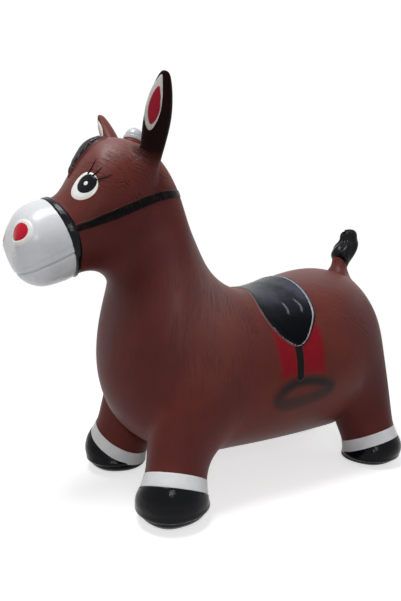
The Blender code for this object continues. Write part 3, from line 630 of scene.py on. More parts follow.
class Shading:
    """A node tree that is filled by short calls."""

    def __init__(self, tree):
        self.tree = tree

    def node(self, kind, inputs=None, out=0, **settings):
        """One output of a new node, or a list of them where a tuple of names asks for it."""
        node = self.tree.nodes.new(kind)
        for name, value in settings.items():
            setattr(node, name, value)
        for name, value in (inputs or {}).items():
            self.feed(node.inputs[name], value)
        if isinstance(out, tuple):
            return [Field(self, node.outputs[name]) for name in out]
        return None if out is None else Field(self, node.outputs[out])

    def feed(self, socket, value):
        if isinstance(value, Field):
            self.tree.links.new(value.socket, socket)
        else:
            socket.default_value = value

    def math(self, operation, *values, clamp=False):
        return self.node("ShaderNodeMath", dict(enumerate(values)), operation=operation,
                         use_clamp=clamp)

    def vector(self, operation, *values, out=0):
        return self.node("ShaderNodeVectorMath", dict(enumerate(values)), out, operation=operation)

    def remap(self, value, low, high, to_low=0.0, to_high=1.0):
        return self.node("ShaderNodeMapRange", {
            "Value": value, "From Min": low, "From Max": high, "To Min": to_low, "To Max": to_high},
            "Result", interpolation_type="SMOOTHSTEP")

    def layered(self, base, *layers):
        """A colour with others laid over it, each by its own share."""
        for share, colour in layers:
            base = self.node("ShaderNodeMix", {0: share, 6: base, 7: colour}, 2, data_type="RGBA")
        return base

    def mark(self, name):
        return self.node("ShaderNodeAttribute", out="Fac", attribute_name=name)

    def where(self, scale=None):
        """The place on the object, stretched where a scale is given."""
        place = self.node("ShaderNodeTexCoord", out="Object")
        if scale:
            place = self.node("ShaderNodeMapping", {"Vector": place, "Scale": scale})
        return place

    def noise(self, vector, scale, detail=2.0, roughness=0.5, out="Fac"):
        return self.node("ShaderNodeTexNoise", {
            "Vector": vector, "Scale": scale, "Detail": detail, "Roughness": roughness}, out)

    def use(self, tree, *values):
        """What an effect makes of the values of its inputs: one value, or a list of them."""
        names = {"INPUT": [], "OUTPUT": []}
        for socket in tree.interface.items_tree:
            names[socket.in_out].append(socket.name)
        made = self.node("ShaderNodeGroup", dict(zip(names["INPUT"], values)),
                         tuple(names["OUTPUT"]), node_tree=tree)
        return made if len(made) > 1 else made[0]


class Finish(Shading):
    """A new material: one shader with a fine relief."""

    def __init__(self, name):
        self.material = bpy.data.materials.new(name)
        self.material.use_nodes = True
        super().__init__(self.material.node_tree)

    def surface(self, colour, roughness, shine, height, others=None):
        """The material, once its shader is fed and a height in metres is turned into relief."""
        shader = self.tree.nodes["Principled BSDF"]
        relief = self.node("ShaderNodeBump", {"Height": height, "Distance": 1.0, "Strength": 1.0})
        sockets = {"Base Color": colour, "Roughness": roughness, "Specular IOR Level": shine,
                   "Normal": relief, **(others or {})}
        for socket, value in sockets.items():
            self.feed(shader.inputs[socket], value)
        return self.material


def effect(inputs, *outputs):
    """A shader node group with named inputs and outputs, filled by a function of its inputs."""
    def group(fill):
        tree = bpy.data.node_groups.new(fill.__name__, "ShaderNodeTree")
        for name, value in inputs.items():
            kind = "NodeSocketVector" if isinstance(value, tuple) else "NodeSocketFloat"
            tree.interface.new_socket(name, in_out="INPUT", socket_type=kind).default_value = value
        for name in outputs:
            tree.interface.new_socket(name, in_out="OUTPUT", socket_type="NodeSocketFloat")
        shading = Shading(tree)
        made = fill(shading, *shading.node("NodeGroupInput", out=tuple(inputs)))
        shading.node("NodeGroupOutput", dict(zip(outputs, made)), out=None)
        return tree
    return group


@effect({"Cloud Size": 0.05, "Grain Size": 0.0012}, "Tone", "Grain")
def moulded_vinyl(shading, cloud_size, grain_size):
    """Cloudy tone and fine pitted grain of rotation-moulded vinyl."""
    where = shading.where()
    return (shading.noise(where, 1.0 / cloud_size, detail=5, roughness=0.55),
            shading.noise(where, 1.0 / grain_size, detail=3, roughness=0.6))


@effect({"Way": (0, 0, 0), "Stroke Width": 0.0022, "Stroke Length": 0.035}, "Stroke")
def combed_strokes(shading, way, width, length):
    """Fine combed strokes cut into the mould, each a few centimetres long."""
    where = shading.where()
    drift = shading.vector("MULTIPLY", shading.noise(where, 14.0, detail=1.0, out="Color"),
                           (0.02, 0.02, 0.02))
    turned = shading.node("ShaderNodeVectorRotate", {
        "Vector": shading.vector("ADD", where, drift), "Rotation": way}, rotation_type="EULER_XYZ")
    long = 1.0 / length
    scale = shading.node("ShaderNodeCombineXYZ", {"X": long, "Y": 1.0 / width, "Z": long})
    strokes = shading.noise(shading.vector("MULTIPLY", turned, scale), 1.0, roughness=0.4)
    patches = shading.remap(shading.noise(where, 30.0), 0.40, 0.60)
    return (shading.remap(strokes, 0.50, 0.62) * patches,)


@effect({"Centre Y": 0.0, "Centre Z": 0.0, "Spacing": 0.0050}, "Stroke")
def curved_folds(shading, centre_y, centre_z, spacing):
    """Fine curved folds cut in rings about a place on the head, seen from the side."""
    where = shading.where()
    y, z = shading.node("ShaderNodeSeparateXYZ", {0: where}, ("Y", "Z"))
    across, up = y - centre_y, z - centre_z
    reach = shading.math("SQRT", across * across + up * up)
    turns = (reach + shading.noise(where, 38.0, detail=3) * 0.024) / spacing
    line = shading.remap(shading.math("COSINE", turns * (2 * math.pi)), 0.2, 0.95)
    return (line * shading.remap(shading.noise(where, 85.0, detail=3), 0.44, 0.66),)


@effect({"Inside": 0.0, "Fade Start": -0.001, "Fade End": 0.001, "Speckle": 0.3}, "Cover")
def sprayed_edge(shading, inside, start, end, speckle):
    """Share of cover of a sprayed coat: soft and speckled at its edge."""
    where = shading.where()
    drift = shading.noise(where, 1400.0) * 0.4 + shading.noise(where, 90.0, detail=3) * 0.6
    share = shading.remap(inside, start, end)
    moved = share * (1.0 - share) * 4.0 * ((drift - 0.5) * speckle)
    return (shading.math("ADD", share, moved, clamp=True),)


@effect({"Inside": 0.0, "Edge Width": 0.0008, "Amount": 0.5}, "Wear")
def rubbed_edge(shading, inside, width, amount):
    """Rubbed places: a thin broken line at the edge of a coat."""
    patches = shading.noise(shading.where(), 160.0, detail=4, roughness=0.65)
    worn = (1.0 - shading.remap(inside, 0.0, width)) * shading.remap(patches, 0.42, 0.62)
    return (shading.math("MULTIPLY", worn, amount, clamp=True),)


# Colours, linear
BROWN = (0.128, 0.0285, 0.0215, 1)
LOW_BROWN = (0.098, 0.0185, 0.0135, 1)
PLUM_BROWN = (0.082, 0.0200, 0.0205, 1)
# painted shade: darker brown on the neck and chest under the head, the chest's front and the hind
# leg's rear
SHADE_BROWN = (0.050, 0.0105, 0.0120, 1)
# painted shade in the grooves of the cut strokes and folds; also the brown blotches showing through
# sprayed black
SHADE_AND_BLOTCH_BROWN = (0.060, 0.0115, 0.0090, 1)
DARK_BROWN = (0.0105, 0.0030, 0.0030, 1)
BLACK = (0.0042, 0.0046, 0.0066, 1)
SPRAY_BLACK = (0.012, 0.0095, 0.0100, 1)
CHEEK_BLACK = (0.0018, 0.0016, 0.0020, 1)
STRAP_BLACK = (0.0030, 0.0020, 0.0024, 1)
SEAT_BLACK = (0.0020, 0.0022, 0.0034, 1)
SEAT_GREY = (0.050, 0.056, 0.058, 1)
# painted sheen: bluish light on the saddle's upper rear
PAINTED_SHEEN_BLUE = (0.052, 0.055, 0.095, 1)
SHINE_TINT = (0.78, 0.84, 1.0, 1)
# painted highlights on the saddle's cut strokes
STROKE_PAINTED_HIGHLIGHT = (0.42, 0.45, 0.52, 1)
# painted highlight: a thin light line along the saddle's front edge
EDGE_HIGHLIGHT_PINK = (0.34, 0.20, 0.19, 1)
PIPING_GREY = (0.39, 0.40, 0.45, 1)
RED = (0.50, 0.010, 0.028, 1)
CLOTH_RED = (0.22, 0.004, 0.011, 1)
EAR_INNER_RED = (0.30, 0.011, 0.027, 1)
PALE = (0.80, 0.81, 0.82, 1)
EAR_PALE = (0.60, 0.585, 0.55, 1)
WHITE = (0.78, 0.77, 0.74, 1)
MUZZLE = (0.62, 0.63, 0.66, 1)
# painted shade: the grey that the lower muzzle goes to
MUZZLE_LOW_SHADE = (0.50, 0.51, 0.56, 1)
MUZZLE_CREAM = (0.52, 0.50, 0.47, 1)
# painted shade: grey in the mouth's groove and crease
GROOVE_SHADE_GREY = (0.16, 0.16, 0.18, 1)
MILK_GREY = (0.38, 0.40, 0.42, 1)
MILK_WHITE = (0.52, 0.54, 0.56, 1)
FLOOR_GREY = (0.80, 0.80, 0.80, 1)
FLOOR_PALE = (0.84, 0.84, 0.84, 1)
PLAIN_WHITE = (1, 1, 1, 1)

# The combed strokes of the coat: the mark where they lie, their turn, width and length
COMBED_MARKS = (
    ("shoulder_coat", (0.10, 0, 0), 0.0030, 0.045), ("head_coat", (-1.15, 0, 0.2), 0.0026, 0.036),
    ("rump_coat", (-1.0, 0, 0), 0.0026, 0.022),
)
FOLD_CENTRE = (-0.176, 0.366)
CUT_DEPTH = 0.00060
RUBBED_WIDTH = 0.0008
TONE_SPAN = (0.3, 0.7)


def brown_ground(shading):
    """The body's brown under every spray: colour, roughness, level of shine and fine height."""
    tone, grain = shading.use(moulded_vinyl, 0.055, 0.0013)
    wide, _ = shading.use(moulded_vinyl, 0.16, 0.02)
    # the strokes and folds also darken the colour in their grooves: painted shade
    strokes = shading.use(curved_folds, *FOLD_CENTRE) * shading.mark("brow_folds")
    for mark, *values in COMBED_MARKS:
        strokes = strokes + shading.use(combed_strokes, *values) * shading.mark(mark)
    dark = shading.mark("dark_spray")
    # the deep tone marks lay painted shade over the neck, chest and hind leg
    colour = shading.layered(
        LOW_BROWN, (shading.remap(tone, *TONE_SPAN), BROWN),
        (shading.remap(wide, 0.44, 0.64, 0.0, 0.60), PLUM_BROWN),
        (shading.mark("painted_shade") * 0.7, SHADE_BROWN),
        (shading.math("MULTIPLY", strokes, 0.42, clamp=True), SHADE_AND_BLOTCH_BROWN), (dark, DARK_BROWN))
    polished = shading.mark("polished") * shading.remap(dark, 0.0, 0.6, 0.30, 0.0)
    shine = shading.remap(dark, 0.0, 1.0, 0.09, 0.03) + polished
    rough = shading.remap(tone, *TONE_SPAN, 0.42, 0.52)
    return colour, rough, shine, grain * 0.00005 + strokes * -CUT_DEPTH


def brown_vinyl():
    finish = Finish("brown_vinyl")
    return finish.surface(*brown_ground(finish))


def clouded(shading, tone, colour, cloud):
    """A colour that the moulding's tone dulls a little in places."""
    dull = tuple(c * (1 - cloud) for c in colour[:3]) + (1,)
    return shading.layered(dull, (shading.remap(tone, *TONE_SPAN), colour))


def gloss_paint(name, colour, roughness, worn=0.0, under=BROWN, cloud=0.10, shine=0.10,
                wave=0.00012, wave_size=0.004):
    """Thick gloss paint: a little cloudy, gently uneven, and rubbed at its edges."""
    finish = Finish(name)
    tone, grain = finish.use(moulded_vinyl, 0.03, wave_size)
    base = clouded(finish, tone, colour, cloud)
    if worn:
        rubbed = finish.use(rubbed_edge, finish.mark("inside"), RUBBED_WIDTH, worn)
        base = finish.layered(base, (rubbed, under))
    rough = finish.remap(tone, *TONE_SPAN, roughness * 0.85, roughness * 1.2)
    return finish.surface(base, rough, shine, grain * wave)


def sprayed_paint(name, colour, roughness, start, end, speckle, blotch=0.0, under=None, shine=0.09):
    """Paint sprayed through a mask: it fades to what is under it at its edge, the body's brown
    where nothing else is named. Its strength varies along it."""
    finish = Finish(name)
    ground, rough, low_shine, height = brown_ground(finish)
    if under:
        ground = finish.layered(ground, (finish.mark("over_cloth") * 0.85, under))
    tone, grain = finish.use(moulded_vinyl, 0.012, 0.0028)
    cover = finish.use(sprayed_edge, finish.mark("inside"), start, end, speckle)
    cover = cover * finish.mark("strength")
    paint = clouded(finish, tone, colour, 0.15)
    if blotch:
        paint = finish.layered(paint, (finish.remap(tone, 0.52, 0.72, 0.0, blotch), SHADE_AND_BLOTCH_BROWN))
    bare = 1.0 - cover
    return finish.surface(
        finish.layered(ground, (cover, paint)), rough * bare + cover * roughness,
        low_shine * bare + cover * shine, height + grain * cover * (0.00025 * blotch))


def muzzle_paint():
    """White gloss, with painted shade: greyer low down and in the mouth's groove."""
    finish = Finish("muzzle_white_gloss")
    tone, grain = finish.use(moulded_vinyl, 0.05, 0.004)
    level = finish.node("ShaderNodeSeparateXYZ", {0: finish.where()}, "Z")
    colour = finish.layered(
        MUZZLE, (finish.remap(level, 0.36, 0.27) * 0.35, MUZZLE_LOW_SHADE),
        (finish.remap(tone, 0.35, 0.75, 0.0, 0.14), MUZZLE_CREAM),
        (finish.remap(finish.mark("groove_shade"), 0.0, 1.0, 0.0, 0.42), GROOVE_SHADE_GREY))
    return finish.surface(colour, finish.remap(tone, *TONE_SPAN, 0.20, 0.30), 0.3, grain * 0.0001)


def saddle_paint():
    """Black gloss, greyed by rubbing on the seat, with a painted sheen and painted highlights."""
    finish = Finish("saddle_black_gloss")
    tone, grain = finish.use(moulded_vinyl, 0.035, 0.005)
    patches = finish.noise(finish.where((1, 1, 2)), 55.0, detail=6, roughness=0.7)
    scuffs = finish.remap(patches, 0.45, 0.75) + 0.35
    seat = finish.math("MULTIPLY", finish.mark("seat"), scuffs, clamp=True)
    shine_and_painted_sheen = finish.mark("shine_and_painted_sheen") * finish.remap(tone, 0.35, 0.65, 0.35, 1.0)
    # over the black and its rubbed seat: a painted bluish sheen, painted highlights on the strokes
    # and a painted highlight along the front edge
    colour = finish.layered(
        SEAT_BLACK, (seat * 0.20, SEAT_GREY), (shine_and_painted_sheen * 0.55, PAINTED_SHEEN_BLUE),
        (finish.mark("strokes") * 0.36, STROKE_PAINTED_HIGHLIGHT),
        (finish.mark("front_edge") * 0.55, EDGE_HIGHLIGHT_PINK))
    rough = finish.remap(tone, *TONE_SPAN, 0.20, 0.28) + seat * 0.14
    return finish.surface(colour, rough, shine_and_painted_sheen * 0.16 + 0.03, grain * 0.00015,
                          {"Specular Tint": SHINE_TINT})


def plug_vinyl():
    """Milky clear vinyl of the valve plug."""
    finish = Finish("milky_vinyl")
    tone, grain = finish.use(moulded_vinyl, 0.008, 0.004)
    colour = finish.layered(MILK_GREY, (tone, MILK_WHITE))
    return finish.surface(colour, finish.remap(tone, *TONE_SPAN, 0.20, 0.32), 0.5, grain * 0.00005,
                          {"Transmission Weight": 0.08, "IOR": 1.5})


BODY_BROWN = brown_vinyl()
MUZZLE_WHITE = muzzle_paint()
SADDLE_BLACK = saddle_paint()
MILKY = plug_vinyl()
HARNESS_BLACK = gloss_paint("harness_black_gloss", BLACK, 0.17, worn=0.25, shine=0.13, wave=0.0004)
HOOF_BLACK = gloss_paint("hoof_black_gloss", BLACK, 0.15, worn=0.20, wave=0.0005, wave_size=0.007)
HAIR_BLACK = gloss_paint("hair_black_gloss", BLACK, 0.16, shine=0.12, wave=0.0003)
EYE_BLACK = gloss_paint("eye_black_gloss", BLACK, 0.12)
EYE_WHITE = gloss_paint("eye_white_gloss", WHITE, 0.24, cloud=0.05, shine=0.3)
NOSTRIL_WHITE = gloss_paint("nostril_white_gloss", WHITE, 0.28, cloud=0.05, shine=0.3)
NOSTRIL_RED = gloss_paint("nostril_red_gloss", RED, 0.30, worn=0.3, under=WHITE)
EAR_RED = gloss_paint("ear_red_gloss", EAR_INNER_RED, 0.38, worn=0.4, under=PALE)
EAR_WHITE = gloss_paint("ear_white_gloss", EAR_PALE, 0.38, worn=0.3, cloud=0.15)
BAND_WHITE = gloss_paint("band_white_gloss", PALE, 0.34, worn=0.3)
PIPING_PALE = gloss_paint("piping_pale_gloss", PIPING_GREY, 0.28, worn=0.5, under=BLACK, cloud=0.4)
CLOTH_PAINT = sprayed_paint("cloth_red_spray", CLOTH_RED, 0.40, -0.0015, 0.0110, 0.6)
STIRRUP_PAINT = sprayed_paint("stirrup_dark_spray", SPRAY_BLACK, 0.42, -0.0045, 0.0070, 0.5)
CHEEK_PAINT = sprayed_paint("cheek_black_spray", CHEEK_BLACK, 0.20, -0.0002, 0.0012, 0.6,
                            blotch=0.3, shine=0.05)
STRAP_PAINT = sprayed_paint("strap_black_spray", STRAP_BLACK, 0.32, -0.0008, 0.0012, 0.3,
                            under=CLOTH_RED)
LOCK_PAINT = sprayed_paint("lock_black_spray", BLACK, 0.22, 0.0002, 0.0040, 0.3, shine=0.16)


# Body

# Soft marks of the body's coat, each with its spots: strength, centre, and size along and up
GROUND_SPOTS = {
    "shoulder_coat": ((1.3, (-0.060, 0.240), (0.075, 0.085)),),
    "head_coat": ((1.3, (-0.155, 0.430), (0.060, 0.038)),),
    "rump_coat": ((0.8, (0.160, 0.235), (0.060, 0.060)), (0.5, (0.000, 0.225), (0.035, 0.040))),
    "brow_folds": ((2.4, (-0.142, 0.400), (0.040, 0.036)),),
    # painted shade: darker on the neck and chest under the head, the chest's front and the hind
    # leg's rear
    "painted_shade": ((1.0, (-0.140, 0.335), (0.070, 0.065)), (0.8, (-0.135, 0.215), (0.030, 0.080)),
                  (0.7, (0.225, 0.140), (0.045, 0.085))),
    "polished": ((1.0, (-0.168, 0.455), (0.045, 0.024)), (1.3, (0.150, 0.290), (0.085, 0.022)),
                 (0.9, (-0.075, 0.250), (0.045, 0.060))),
}


def ear_place(points, side):
    """Where points lie on one ear: the share up from its root, the turn about its axis from the
    front to the outside, and the distance from the axis."""
    flip = np.array((side, 1, 1))
    reach = np.array(EAR_REACH) * flip
    away = points - np.array(EAR_ROOT) * flip
    share = away @ reach / (reach @ reach)
    away -= share[:, None] * reach
    across, front = (np.array(Vector(shares).normalized()) * flip
                     for shares in (EAR_ACROSS_SHARES, EAR_ALONG_SHARES))
    return share, np.arctan2(away @ across, away @ front), np.linalg.norm(away, axis=1)


def ear_spray(skin):
    """Dark spray on the front and the outside of each ear, down to its root."""
    spray = np.zeros(len(skin.points))
    for _, side in SIDES:
        share, _, off = ear_place(skin.points, side)
        on_ear = np.clip((share + 0.04) * 5, 0, 1) * np.clip((0.026 - off) / 0.007, 0, 1)
        outside = np.clip((skin.normals[:, 0] * side + 0.45) * 3, 0, 1)
        spray = np.maximum(spray, on_ear * outside)
    return spray


def ground_marks(skin):
    """Where the coat's strokes, painted shade, polished shine and dark spray lie on a skin."""
    marks = {mark: soft_spots(skin, spots) for mark, spots in GROUND_SPOTS.items()}
    marks["painted_shade"] = np.clip(marks["painted_shade"], 0, 1)
    strap = line_bump(skin, side_line(CHEEK_STRAP_SHARES), 0.010)
    ring = line_bump(skin, side_curve(STIRRUP_LINE_SHARES, closed=True), 0.012)
    marks["dark_spray"] = np.clip(ear_spray(skin) + 0.25 * strap + 0.15 * ring, 0, 1)
    return marks


def turned_mesh(name, profile, steps=48):
    """A round shape on the valve's axis, made by turning radii and heights, bottom first."""
    rings = []
    points = []
    for radius, height in profile:
        ring = []
        for k in range(steps if radius else 1):
            angle = 2 * math.pi * k / steps
            ring.append(len(points))
            x, y = radius * math.cos(angle), radius * math.sin(angle)
            points.append(PLUG_PLACE @ Vector((x, y, height)))
        rings.append(ring * steps if len(ring) == 1 else ring)
    faces = []
    for low, high in zip(rings, rings[1:]):
        for k in range(steps):
            corners = (low[k], low[(k + 1) % steps], high[(k + 1) % steps], high[k])
            faces.append(tuple(dict.fromkeys(corners)))
    mesh = bpy.data.meshes.new(name)
    mesh.from_pydata(points, [], [face for face in faces if len(face) > 2])
    mesh.shade_smooth()
    mesh.set_sharp_from_angle(angle=math.radians(40))
    return mesh


def body():
    """The brown skin with the valve's seat in it."""
    mesh = closed_mesh("body", BODY_SKIN.points, BODY_SKIN.quads)
    mesh.shade_smooth()
    set_marks(mesh, ground_marks(BODY_SKIN))
    radius, top, bore = VALVE_SEAT_RADIUS, VALVE_SEAT_HEIGHT, PLUG_STEM_RADIUS + 0.0003
    seat = turned_mesh("valve_seat", [
        (0.0, -0.004), (radius + 0.0015, -0.004), (radius + 0.0010, 0.0005), (radius, top - 0.0008),
        (radius - 0.0008, top), (bore, top), (bore, -0.002), (0.0, -0.002)])
    bm = bmesh.new()
    bm.from_mesh(mesh)
    bm.from_mesh(seat)
    bm.to_mesh(mesh)
    bm.free()
    bpy.data.meshes.remove(seat)
    add_piece("body", mesh, BODY_BROWN, "body_skin")


def valve_plug():
    base = VALVE_SEAT_HEIGHT + 0.0003
    rim = base + PLUG_CAP_HEIGHT * 0.26
    rise = PLUG_CAP_HEIGHT * 0.74
    radius, stem, foot = PLUG_CAP_RADIUS, PLUG_STEM_RADIUS, -PLUG_STEM_LENGTH
    dome = [(radius * 0.90 * math.cos(turn), rim + rise * math.sin(turn))
            for turn in (math.pi / 2 * step / 14 for step in range(14))]
    mesh = turned_mesh("valve_plug_fine", [
        (0, foot), (stem - 0.0008, foot), (stem, foot + 0.0012), (stem, base),
        (radius - 0.0006, base), (radius, base + 0.0006), (radius, rim - 0.0010),
        (radius - 0.0006, rim - 0.0003), *dome, (0, rim + rise)])
    add_piece("valve_plug_fine", mesh, MILKY, "valve_plug", body="valve_plug")


# Face

def muzzle():
    """White nose and lower lip, parted by the mouth's groove."""
    skin = HEAD_SKIN
    front = beside(side_curve(NOSEBAND_SHARES), -0.0015)
    inside = side_depth(skin, np.vstack((front, side_line(((-0.60, 0.45), (-0.60, 0.96))))))
    mouth = side_curve(MOUTH_SHARES)
    under = np.vstack((mouth, side_line(((-0.30, 0.40), (-0.60, 0.40)))))
    below = outline_depth(skin.seen, under)
    crease = side_curve(CREASE_SHARES)
    # this mark greys the muzzle along the mouth and the crease: painted shade
    marks = {"groove_shade": line_bump(skin, mouth, 0.0011) + 0.35 * line_bump(skin, crease, 0.0010)}
    nose = np.minimum(rounded(inside, MUZZLE_COAT, 0.004), rounded(-below, MUZZLE_COAT, 0.0022))
    nose -= 0.0005 * line_bump(skin, crease, 0.0014)
    coat("muzzle", skin, np.minimum(inside, -below), nose,
         MUZZLE_WHITE, marks=marks)
    crown = MUZZLE_COAT - 0.0002
    lip = np.maximum(rounded(below, crown, 0.0030), 0.0003)
    lip = np.minimum(rounded(inside, crown, 0.004), lip)
    coat("lower_lip", skin, np.minimum(inside, below + 0.003), lip,
         MUZZLE_WHITE, marks=marks)


def nostrils():
    for side_name, side in SIDES:
        disc = disc_depth(NOSTRIL_SHARES, side, *NOSTRIL_RADII)
        ring = np.minimum(disc_depth(NOSTRIL_SHARES, side, *NOSTRIL_RIM_RADII), 0.0012 - disc)
        rise = MUZZLE_COAT - 0.0001 + rounded(ring, *NOSTRIL_RIM_SWELL)
        coat("nostril_rim_" + side_name, HEAD_SKIN, ring, rise, NOSTRIL_WHITE)
        coat("nostril_" + side_name, HEAD_SKIN, disc, MUZZLE_COAT + rounded(disc, *NOSTRIL_SWELL),
             NOSTRIL_RED)


def eyes():
    for side_name, side in SIDES:
        white = disc_depth(EYE_SHARES, side, EYE_RADIUS, EYE_RADIUS)
        iris = disc_depth(IRIS_SHARES, side, IRIS_RADIUS, IRIS_RADIUS)
        glint = disc_depth(IRIS_SHARES, side, GLINT_RADIUS, GLINT_RADIUS)
        swelling = rounded(white, *EYE_SWELL)
        iris_top = np.maximum(swelling, 0.0008) + rounded(iris, *IRIS_SWELL)
        glint_top = 0.0016 + rounded(glint, *GLINT_SWELL)
        for name, depth, height, material, slot in (
                ("eye_white_", white, swelling, EYE_WHITE, "eye_white_gloss"),
                ("iris_", iris, iris_top, EYE_BLACK, "black_gloss"),
                ("glint_", glint, glint_top, EYE_WHITE, "eye_white_gloss")):
            coat(name + side_name, HEAD_SKIN, depth, height, material)
        for place, shares in LASH_SHARES.items():
            name = place + "_eyelash_" + side_name
            path = side_path(side_curve(shares, steps=8), side, LASH_LIFTS)
            lash = bead(name, path, LASH_RADIUS, LASH_END_SHARE, EYE_BLACK)
            add_piece(name, lash, EYE_BLACK)


def side_path(line, side, lifts):
    """Points over the skin under a side line, lifted off it by heights that go along the line."""
    path = []
    for (y, z), lift in zip(line, np.interp(np.linspace(0, 1, len(line)), *lifts)):
        point, normal = side_hit(y, z, side)
        path.append(point + normal * lift)
    return path


def bead_tree():
    """Geometry nodes: a round bead along a path, thinner towards its far end."""
    tree = bpy.data.node_groups.new("bead_along_path", "GeometryNodeTree")
    sockets = {}
    for name, kind in (("Path", "Geometry"), ("Radius", "Float"), ("End Share", "Float"),
                       ("Material", "Material")):
        made = tree.interface.new_socket(name, in_out="INPUT", socket_type="NodeSocket" + kind)
        sockets[name] = made.identifier
    tree.interface.new_socket("Bead", in_out="OUTPUT", socket_type="NodeSocketGeometry")
    shading = Shading(tree)
    path, radius, end_share, material = shading.node("NodeGroupInput", out=tuple(sockets))
    curve = shading.node("GeometryNodeMeshToCurve", {"Mesh": path})
    share = shading.node("GeometryNodeSplineParameter", out="Factor")
    taper = shading.node("ShaderNodeMapRange", {
        "Value": share, "To Min": 1.0, "To Max": end_share}, "Result")
    ring = shading.node("GeometryNodeCurvePrimitiveCircle", {"Resolution": 10, "Radius": 1.0})
    made = shading.node("GeometryNodeCurveToMesh", {
        "Curve": curve, "Profile Curve": ring, "Scale": taper * radius, "Fill Caps": True})
    made = shading.node("GeometryNodeSetShadeSmooth", {"Geometry": made})
    made = shading.node("GeometryNodeRealizeInstances", {"Geometry": made})
    made = shading.node("GeometryNodeSetMaterial", {"Geometry": made, "Material": material})
    shading.node("NodeGroupOutput", {"Bead": made}, out=None)
    return tree, sockets


BEAD_TREE, BEAD_SOCKETS = bead_tree()


def bead(name, path, radius, end_share, material):
    mesh = bpy.data.meshes.new(name)
    mesh.from_pydata(path, [(k, k + 1) for k in range(len(path) - 1)], [])
    item = put(name + "_path", mesh)
    nodes = item.modifiers.new("bead", "NODES")
    nodes.node_group = BEAD_TREE
    for socket, value in (("Radius", radius), ("End Share", end_share), ("Material", material)):
        nodes[BEAD_SOCKETS[socket]] = value
    made = finished_mesh(item)
    bm = bmesh.new()
    bm.from_mesh(made)
    bmesh.ops.recalc_face_normals(bm, faces=bm.faces)
    bm.to_mesh(made)
    bm.free()
    made.name = name
    return made


def ears():
    """Pale lining and red oval in the cupped front of each ear: each has its middle and its half
    size as turns about the ear and as shares up it."""
    for side_name, side in SIDES:
        share, turn, off = ear_place(HEAD_SKIN.points, side)
        front = (off < 0.03) & (share > 0.1)
        for name, middle, half, base, material, slot in (
                ("ear_lining_", (-0.06, 0.665), (1.04, 0.30), 0.0, EAR_WHITE, "pale_gloss"),
                ("ear_inner_", (0.12, 0.645), (0.78, 0.210), 0.0006, EAR_RED, "red_gloss")):
            oval = np.hypot((turn - middle[0]) / half[0], (share - middle[1]) / half[1])
            depth = np.where(front, (1 - oval) * half[0] * EAR_DEPTH * 0.4, FAR_OUT)
            height = base + rounded(depth, *EAR_SWELL)
            coat(name + side_name, HEAD_SKIN, depth, height, material)


def forelock(ground):
    """A lock of hair that lies over the brow, in strands."""
    aim, rise = (np.array(Vector(way)) for way in ((0, -0.675, 0.738), (0, 0.738, 0.675)))
    away = HEAD_SKIN.points - np.array(side_point(FORELOCK_SHARES))
    u, v, w = away[:, 0], away @ rise, away @ aim
    half_length, back = 0.034, 0.033
    taper = (np.clip(v / half_length, -1, 1) * 0.62 - 0.30) ** 2 * 1.15
    width = 0.0200 * np.sqrt(np.clip(1 - taper, 0.02, 1))
    width *= np.clip((v + half_length) / (half_length * 1.1), 0, 1) ** 0.55
    depth = np.minimum(width - np.abs(u - 0.0015 * np.sin(v * 120)),
                       np.minimum(half_length + v, back - v))
    depth = np.where(np.abs(w) < 0.035, depth, FAR_OUT)
    strands = 0.5 + 0.5 * np.cos(u * 900 + 1.2 * np.sin(v * 90))
    height = rounded(depth, *LOCK_SWELL) - 0.0011 * strands * np.clip(depth / 0.003, 0, 1)
    height += 0.0016 * bump(v - 0.014, 0.010) * np.clip(depth / 0.006, 0, 1)
    coat("forelock", HEAD_SKIN, depth, height, LOCK_PAINT,
         marks={**ground, "strength": np.ones(len(depth))})


def bridle(ground):
    """Noseband and cheek straps."""
    skin = HEAD_SKIN
    depth, _ = strap_depth(skin, side_curve(NOSEBAND_SHARES), NOSEBAND_HALF_WIDTHS)
    coat("noseband", skin, depth, rounded(depth, *NOSEBAND_SWELL), HARNESS_BLACK)
    line = side_curve(CHEEK_STRAP_SHARES)
    for side_name, side in SIDES:
        depth, along = strap_depth(skin, line, CHEEK_STRAP_HALF_WIDTHS, side)
        coat("cheek_strap_" + side_name, skin, depth, rounded(depth + 0.0004, *CHEEK_STRAP_SWELL),
             CHEEK_PAINT,
             marks={**ground, "strength": np.clip((1.02 - along) / 0.10, 0, 1)})


# Saddlery

def saddle():
    """Saddle with its groove, its small cut strokes and its pale piping."""
    skin = BACK_SKIN
    depth = side_depth(skin, side_curve(SADDLE_SHARES, closed=True))
    edge = side_curve(SADDLE_SHARES[4:14])
    strokes = sum(line_bump(skin, side_curve(shares), 0.0010) for shares in SADDLE_STROKES)
    height = rounded(depth, *SADDLE_SWELL) - 0.0004 * line_bump(skin, beside(edge, 0.0078), 0.0015)
    height += 0.0012 * strokes
    # the front edge line, the strokes and the sheen spots carry painted highlights and painted
    # sheen into the saddle's colour
    coat("saddle", skin, depth, height, SADDLE_BLACK, margin=0.0005, marks={
        "seat": soft_spots(skin, ((1.0, (0.080, 0.272), (0.045, 0.020)),)),
        "front_edge": line_bump(skin, side_curve(SADDLE_SHARES[:7]), 0.0013),
        "strokes": strokes,
        "shine_and_painted_sheen": np.maximum(soft_spots(skin, ((0.8, (0.070, 0.260), (0.045, 0.018)),)),
                            soft_spots(skin, ((1.0, (0.098, 0.266), (0.022, 0.022)),)))})
    inset = beside(edge, np.interp(np.linspace(0, 1, len(edge)), *PIPING_INSETS)[:, None])
    rim, _ = strap_depth(skin, inset, PIPING_HALF_WIDTHS)
    coat("saddle_piping", skin, rim, height + rounded(rim, *PIPING_SWELL),
         PIPING_PALE)


